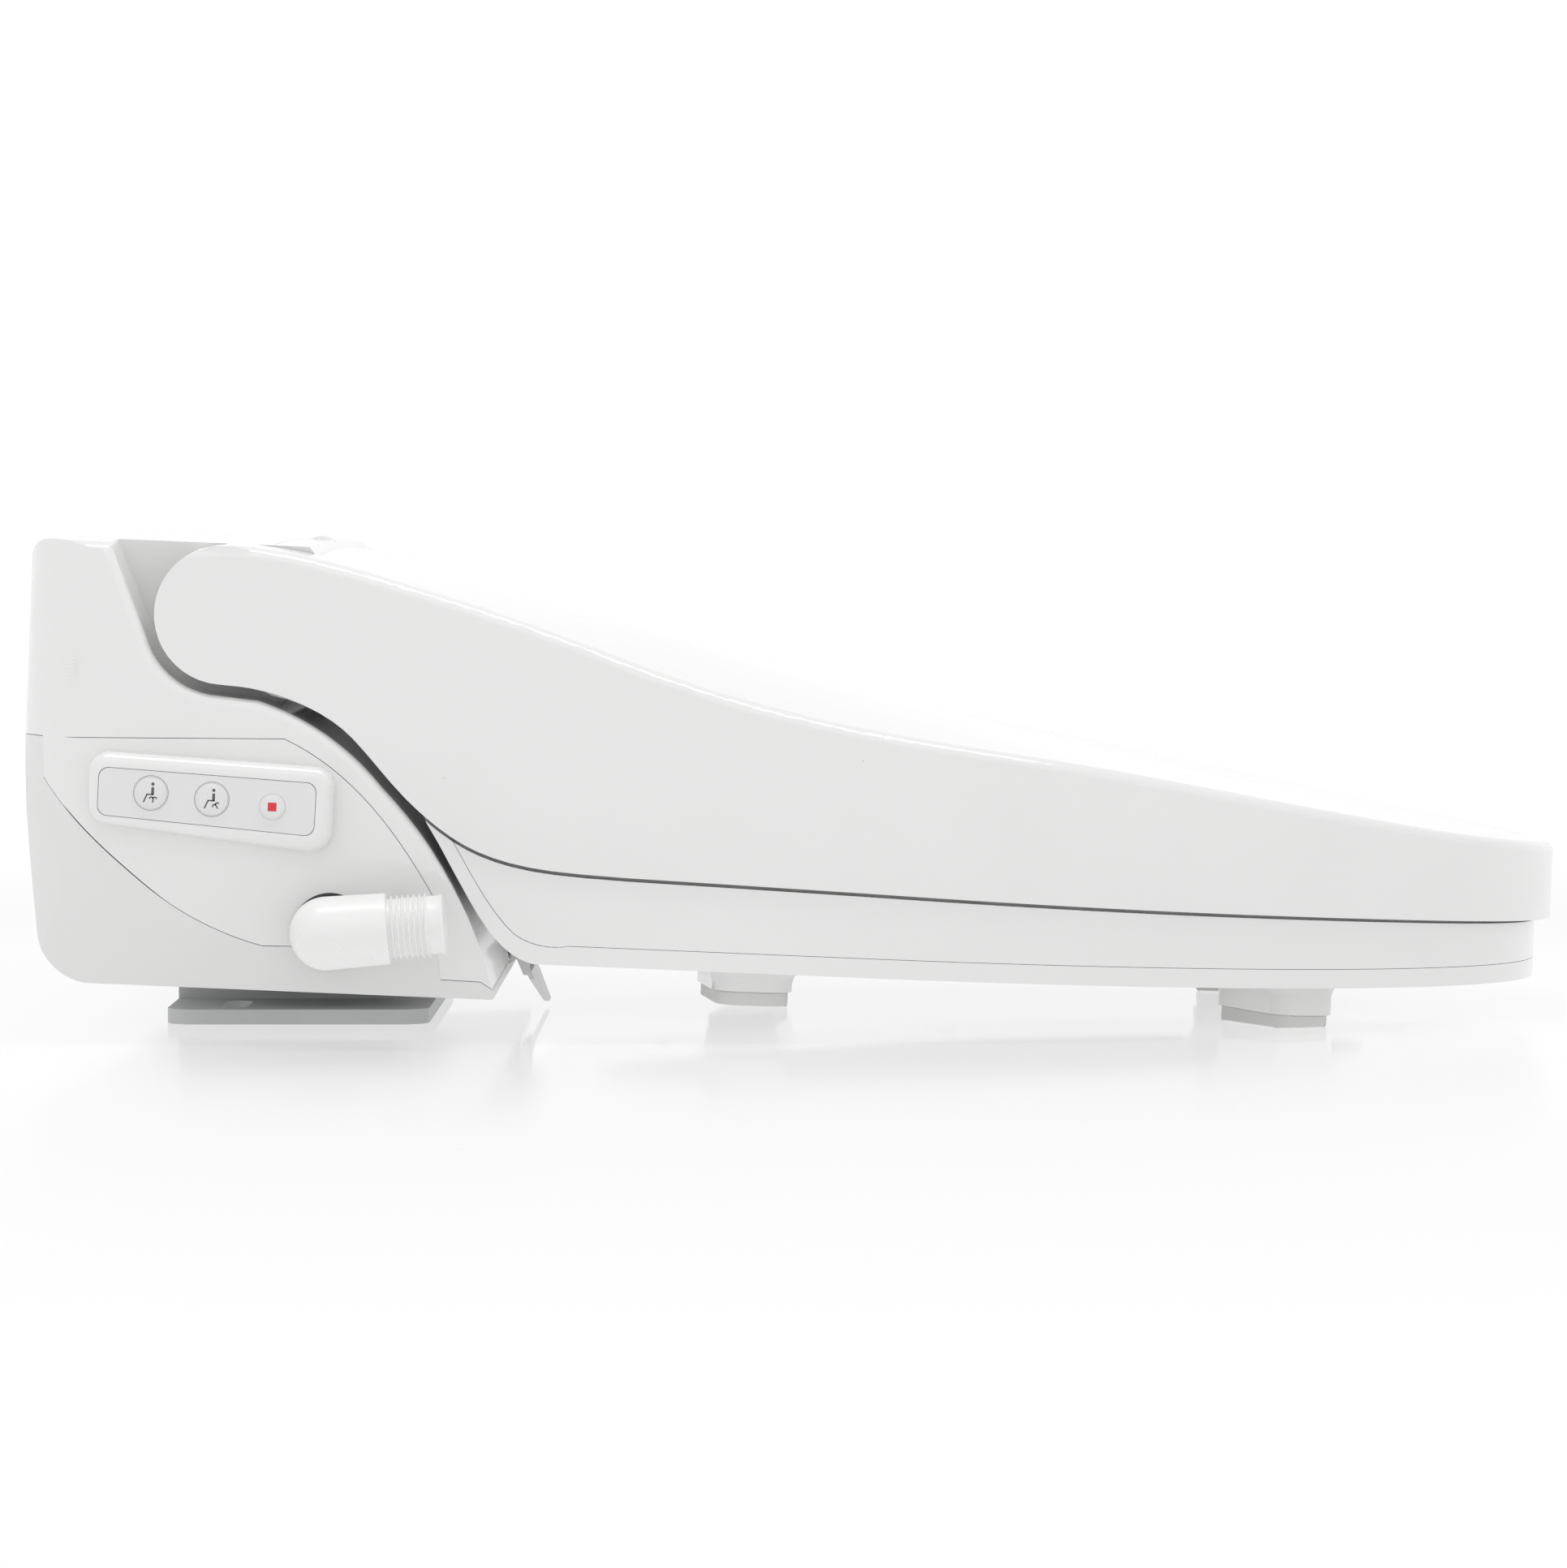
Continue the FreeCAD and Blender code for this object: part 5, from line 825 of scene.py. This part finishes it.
@dataclass
class WaterInlet:
    """The milky elbow that swivels on the right-hand side."""

    bench: Workbench
    pitch_deg: float = 7.0
    ball: float = 11.8           # radius of the round end
    ball_steps: int = 12
    arm: float = 38.0            # from the ball's middle to the arm's end
    bore: float = 5.0
    thread: float = 10.48        # radius over the ridges
    thread_start: float = 21.6
    thread_pitch: float = 1.8
    ridges: int = 7
    stem: float = 8.0
    groove: float = 1.6          # depth of the grooves that hold the sealing rings
    groove_wide: float = 2.4
    collar: float = 1.4          # how far the stem's collar stands out around it
    hole: float = 11.95          # outer edge of the dust seal, just inside the cover's hole
    seal_depth: float = 3.0      # from the cover's face to the back of the seal
    seal_thick: float = 0.8
    steps: int = 96

    def build(self) -> None:
        """Build the elbow and its seal and dress its rings and strainer."""
        self.elbow()
        self.dust_seal()
        self.bench.casting("inlet_o_rings", sharp_deg=60.0)
        self.bench.casting("inlet_filter", sharp_deg=30.0)

    def arm_profile(self) -> list[tuple[float, float]]:
        """Profile of the ball, the arm and its threaded ridges, with the bore inside."""
        profile = [(0, -self.ball)]
        for step in range(1, self.ball_steps + 1):
            angle = math.radians(-90 + step * 90 / self.ball_steps)
            profile.append((self.ball * math.cos(angle), self.ball * math.sin(angle)))
        profile += [(self.ball - 0.1, 6.0), (self.ball - 0.25, 12.0), (self.ball - 0.35, 19.2),
                    (self.ball - 0.6, 19.8), (self.thread - 1.0, 20.1)]
        for ridge in range(self.ridges):
            foot = self.thread_start + ridge * self.thread_pitch
            profile += [(self.thread - 1.1, foot - 0.5), (self.thread - 0.15, foot - 0.15),
                        (self.thread, foot), (self.thread - 0.15, foot + 0.15),
                        (self.thread - 1.1, foot + 0.5)]
        end = self.arm
        profile += [(self.thread - 1.1, end - 1.2), (self.thread - 0.6, end - 0.4),
                    (self.thread - 1.2, end), (self.bore + 0.5, end), (self.bore, end - 0.5),
                    (self.bore, 0), (0, 0)]
        return profile

    def elbow(self) -> None:
        """The elbow: a grooved stem and a turned arm."""
        low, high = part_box("inlet_elbow")
        rings_low, rings_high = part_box("inlet_o_rings")
        axis = Vector(((rings_low.x + rings_high.x) / 2, 0, (rings_low.z + rings_high.z) / 2))
        arm_y = low.y + self.ball * MM
        centre = Vector((axis.x, arm_y, axis.z))
        pitch = Matrix.Rotation(math.radians(90 - self.pitch_deg + LEAN_DEG), 4, "Y")
        arm = place(lathe(self.arm_profile(), self.steps), Matrix.Translation(centre) @ pitch)
        inner = (high.y - arm_y) / MM
        first = (rings_low.y - arm_y) / MM
        second = (rings_high.y - arm_y) / MM - 2.0
        stem, low_r = self.stem, self.stem - self.groove
        brim = stem + self.collar
        profile = [(0, 0), (brim, 0), (brim, 16.1), (brim - 0.2, 16.4), (stem, 16.5)]
        for start in (first - 0.4, second - 0.4):
            end = start + self.groove_wide
            profile += [(stem, start), (low_r, start), (low_r, end), (stem, end)]
        profile += [(stem, inner - 0.6), (stem - 0.6, inner), (self.bore, inner), (self.bore, 1),
                    (0, 1)]
        turn = Matrix.Rotation(math.radians(-90), 4, "X")
        barrel = place(lathe(profile, self.steps), Matrix.Translation(centre) @ turn)
        self.bench.piece("inlet_elbow_turned", joined([arm, barrel]), "inlet", "milky",
                         ("inlet_elbow",), 50.0)


    def dust_seal(self) -> None:
        """The dark rubber ring in the hole around the elbow's collar."""
        low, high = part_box("inlet_o_rings")
        mesh = band(self.stem + self.collar + 0.2, self.hole, self.seal_thick)
        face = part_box("top_cover")[0].y + self.seal_depth * MM
        spot = Vector(((low.x + high.x) / 2, face, (low.z + high.z) / 2))
        self.bench.piece("inlet_dust_seal", place(mesh, facing_right(spot)), "housing",
                         "rubber_black")


# ---------------------------------------------------------------- screws and small fittings


@dataclass
class Fastening:
    """The cross-recessed screws under the housing and the ring."""

    bench: Workbench

    def build(self) -> None:
        """Dress both sets of screws."""
        for node in ("case_screws", "seat_screws"):
            self.bench.casting(node, sharp_deg=30.0)


@dataclass
class HousingDress:
    """Shells of the housing with their small fittings."""

    bench: Workbench
    louvre_count: int = 7
    louvre_pitch: float = 1.25
    louvre_long: float = 1.9
    louvre_high: float = 0.45
    louvre_proud: float = 0.16   # how far a rib stands out of the side
    louvre_spot: tuple[float, float] = (17.5, 37.5)   # from the rear and from the top
    lens_radius: float = 4.5
    lens_drop: float = 1.5       # how much lower the dome's rim is than its middle
    lens_rings: int = 8
    gland_bore: float = 3.2
    gland_ribs: int = 4
    gland_pitch: float = 2.3
    gland_taper: float = 0.3     # how much each rib is smaller than the last

    def build(self) -> None:
        """Dress the shells and add the louvres, lens and gland."""
        for node in ("base_shell", "top_cover", "top_panel", "side_cover_left"):
            self.bench.casting(node, sharp_deg=24.0)
        for node in ("mounting_plate", "release_slide", "filter_cartridge"):
            self.bench.casting(node, sharp_deg=30.0)
        self.louvres()
        self.lens()
        self.gland()

    def louvres(self) -> None:
        """A short ladder of fine ribs in the rear of each side."""
        low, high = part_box("top_cover")
        for side in Side:
            face = low.y if side is Side.RIGHT else high.y
            ribs = []
            for index in range(self.louvre_count):
                rib = slab((-self.louvre_long / 2, 0), (self.louvre_long / 2, 0), self.louvre_high,
                           self.louvre_proud)
                ribs.append(place(rib, Matrix.Translation((0, -index * self.louvre_pitch * MM, 0))))
            back, down = self.louvre_spot
            spot = Vector((low.x + back * MM, face, high.z - down * MM))
            matrix = facing_right(spot)
            if side is Side.LEFT:
                matrix = unit_turn(spot) @ Matrix.Rotation(math.radians(-90), 4, "X")
                matrix = matrix @ Matrix.Rotation(math.pi, 4, "Z")
            self.bench.piece("louvres_" + side.name.lower(), place(joined(ribs), matrix), "housing",
                             "shell_white")

    def lens(self) -> None:
        """The receiver's frosted dome."""
        low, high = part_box("receiver_lens")
        radius = min((high.x - low.x) / 2 / MM, self.lens_radius)
        deep = (high.z - low.z) / MM
        profile = [(0, 0)]
        for step in range(1, self.lens_rings + 1):
            share = step / self.lens_rings
            profile.append((radius * share, -self.lens_drop * share * share))
        profile += [(radius, -deep), (0, -deep)]
        spot = Vector(((low.x + high.x) / 2, (low.y + high.y) / 2, high.z))
        self.bench.piece("receiver_dome", place(lathe(profile, 48), unit_turn(spot)), "housing",
                         "lens", ("receiver_lens",), 50.0)

    def gland(self) -> None:
        """The ribbed strain relief of the cord's entry."""
        low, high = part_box("cord_gland")
        middle = (low + high) / 2
        bore = self.gland_bore
        profile = [(bore, 0), (5.9, 0), (5.9, 9.0), (8.3, 9.2), (8.5, 9.6), (8.5, 11.6),
                   (8.2, 12.0), (6.1, 12.1)]
        for rib in range(self.gland_ribs):
            foot = 13.0 + rib * self.gland_pitch
            shrink = rib * self.gland_taper
            profile += [(5.0 - shrink, foot), (5.0 - shrink, foot + 0.7),
                        (5.8 - shrink, foot + 1.0), (5.8 - shrink, foot + 1.7)]
        profile += [(4.6, 22.2), (4.2, 22.5), (bore, 22.5), (bore, 0)]
        turn = Matrix.Rotation(math.radians(-90), 4, "X")
        spot = Matrix.Translation((middle.x, low.y, middle.z))
        self.bench.piece("cord_gland_ribbed", place(lathe(profile, 48), spot @ turn), "housing",
                         "inner_black", ("cord_gland",), 40.0)


# ---------------------------------------------------------------- lid and ring


@dataclass
class LidDress:
    """The lid and its buffers."""

    bench: Workbench

    def build(self) -> None:
        """Dress the lid."""
        self.bench.casting("lid_shell", sharp_deg=28.0)
        self.bench.casting("lid_buffers", sharp_deg=40.0)


@dataclass
class RingDress:
    """The seat ring and its bumpers."""

    bench: Workbench

    def build(self) -> None:
        """Dress the two shells and the pads."""
        self.bench.casting("seat_upper_shell", sharp_deg=28.0)
        self.bench.casting("seat_lower_shell", sharp_deg=28.0)
        for node in ("seat_bumpers_mid", "seat_bumpers_front"):
            self.bench.casting(node, sharp_deg=30.0, roll_mm=0.5)


@dataclass
class WashGear:
    """The nozzles, the guard and the warm-air flap."""

    bench: Workbench
    nodes: tuple[str, ...] = ("nozzle_rear", "nozzle_front", "nozzle_guard", "nozzle_tray",
                              "pinion_rear", "pinion_front", "dryer_flap", "dryer_duct")

    def build(self) -> None:
        """Dress what can be seen from in front and from below."""
        for node in self.nodes:
            self.bench.casting(node, sharp_deg=30.0)


@dataclass
class InnerWorks:
    """Everything that stays inside the housing."""

    bench: Workbench

    def build(self) -> None:
        """Give each CAD node that still shows its own finish."""
        for node, piece in sorted(frame["nodes"].items()):
            if piece.hide_render:
                continue
            self.bench.palette.dress(piece, SLOT_OF_NODE[node])
            LOG.info("%s keeps its CAD shape", node)


# ---------------------------------------------------------------- studio


@dataclass
class Studio:
    """The glossy white table, the soft light and the camera."""

    camera_at: tuple[float, float, float] = (0.185, -2.486, 0.175)
    pitch_deg: float = 2.262
    lens_mm: float = 164.23
    sensor_mm: float = 36.0
    table_half: float = 9.0
    table_drop: float = 0.0002   # the table's top lies this far under the seat's feet
    glow: float = 0.54           # share of plain white light in the table under the seat
    sides: tuple[float, float] = (0.88, 1.03)   # room light from the camera's side and behind
    above: float = 0.7           # room light from straight up

    def build(self) -> None:
        """Set the table, the lights and the camera."""
        self.table()
        self.light()
        self.camera()
        view = bpy.context.scene.view_settings
        view.view_transform = "Standard"
        view.look = "None"

    def table(self) -> None:
        """A pale floor, polished under the seat and matte further out."""
        mesh = bmesh.new()
        bmesh.ops.create_grid(mesh, x_segments=8, y_segments=8, size=self.table_half)
        data = bpy.data.meshes.new("table")
        mesh.to_mesh(data)
        mesh.free()
        floor = bpy.data.objects.new("table", data)
        floor.location.z = -self.table_drop
        bpy.context.scene.collection.objects.link(floor)
        material = bpy.data.materials.new("polished_table")
        material.use_nodes = True
        wiring = Wiring(material.node_tree)
        material.node_tree.nodes.clear()
        end = wiring.add("ShaderNodeOutputMaterial")
        polished = wiring.add("ShaderNodeBsdfPrincipled")
        polished.inputs["Base Color"].default_value = (0.9, 0.9, 0.9, 1)
        polished.inputs["Specular IOR Level"].default_value = 0.5
        place_at = wiring.add("ShaderNodeTexCoord").outputs["Object"]
        centre = wiring.add("ShaderNodeMapping", vector_type="POINT")
        centre.inputs["Location"].default_value = (-0.19, 0, 0)
        wiring.join(place_at, centre.inputs["Vector"])
        away = wiring.add("ShaderNodeVectorMath", operation="LENGTH")
        wiring.join(centre.outputs["Vector"], away.inputs[0])
        wiring.join(wiring.remap(away.outputs["Value"], (0.2, 1.1), (0.05, 0.6)),
                    polished.inputs["Roughness"])
        plain = wiring.add("ShaderNodeEmission")
        plain.inputs["Color"].default_value = (1, 1, 1, 1)
        plain.inputs["Strength"].default_value = 1.0
        blend = wiring.add("ShaderNodeMixShader")
        fade = wiring.remap(away.outputs["Value"], (0.3, 1.0), (self.glow, 1.0))
        wiring.join(fade, blend.inputs[0])
        wiring.join(polished.outputs["BSDF"], blend.inputs[1])
        wiring.join(plain.outputs["Emission"], blend.inputs[2])
        wiring.join(blend.outputs["Shader"], end.inputs["Surface"])
        data.materials.append(material)

    def light(self) -> None:
        """An even white room, one large soft light overhead and a narrow one for the edges."""
        world = bpy.data.worlds.new("white_room")
        bpy.context.scene.world = world
        world.use_nodes = True
        wiring = Wiring(world.node_tree)
        world.node_tree.nodes.clear()
        end = wiring.add("ShaderNodeOutputWorld")
        room = wiring.add("ShaderNodeBackground")
        direction = wiring.add("ShaderNodeTexCoord").outputs["Generated"]
        parts = wiring.add("ShaderNodeSeparateXYZ")
        wiring.join(direction, parts.inputs[0])
        around = wiring.remap(parts.outputs["Y"], (-0.9, 0.9), self.sides)
        ceiling = wiring.remap(parts.outputs["Z"], (0.15, 0.9), (1.0, self.above))
        wiring.join(wiring.math("MULTIPLY", around, ceiling), room.inputs["Strength"])
        room.inputs["Color"].default_value = (1, 1, 1, 1)
        wiring.join(room.outputs[0], end.inputs["Surface"])
        self.panel("overhead", (0.15, -0.35, 1.3), (0.15, -0.05, 0.05), (1.3, 0.4), 5.5)
        self.panel("edge_strip", (0.0, -1.1, 0.9), (0.15, -0.15, 0.08), (1.0, 0.05), 0.45)

    def panel(self, name: str, spot: Sequence[float], aim: Sequence[float],
              size: Sequence[float], power: float) -> None:
        """A soft rectangular light.

        Args:
            name: name of the light.
            spot: where it hangs.
            aim: the point that it faces.
            size: its two sides.
            power: its power in watts.
        """
        lamp = bpy.data.lights.new(name, "AREA")
        lamp.shape = "RECTANGLE"
        lamp.size, lamp.size_y = size
        lamp.energy = power
        made = bpy.data.objects.new(name, lamp)
        made.location = spot
        made.rotation_euler = (Vector(aim) - Vector(spot)).to_track_quat("-Z", "Y").to_euler()
        bpy.context.scene.collection.objects.link(made)

    def camera(self) -> None:
        """The camera at the side, a little above the seat."""
        data = bpy.data.cameras.new("side_camera")
        data.sensor_width = self.sensor_mm
        data.lens = self.lens_mm
        data.clip_end = 60.0
        made = bpy.data.objects.new("side_camera", data)
        made.location = self.camera_at
        made.rotation_euler = (math.radians(90 - self.pitch_deg), 0, 0)
        bpy.context.scene.collection.objects.link(made)
        bpy.context.scene.camera = made


def main() -> None:
    """Build every sub-assembly in turn."""
    logging.basicConfig(level=logging.INFO, format="%(message)s")
    bench = Workbench(Palette())
    for assembly in (HousingDress, ControlPod, WaterInlet, Fastening, LidDress, RingDress,
                     WashGear, InnerWorks):
        assembly(bench).build()
    Studio().build()
    LOG.info("%d pieces made", bench.count)


if __name__ == "__main__":
    main()
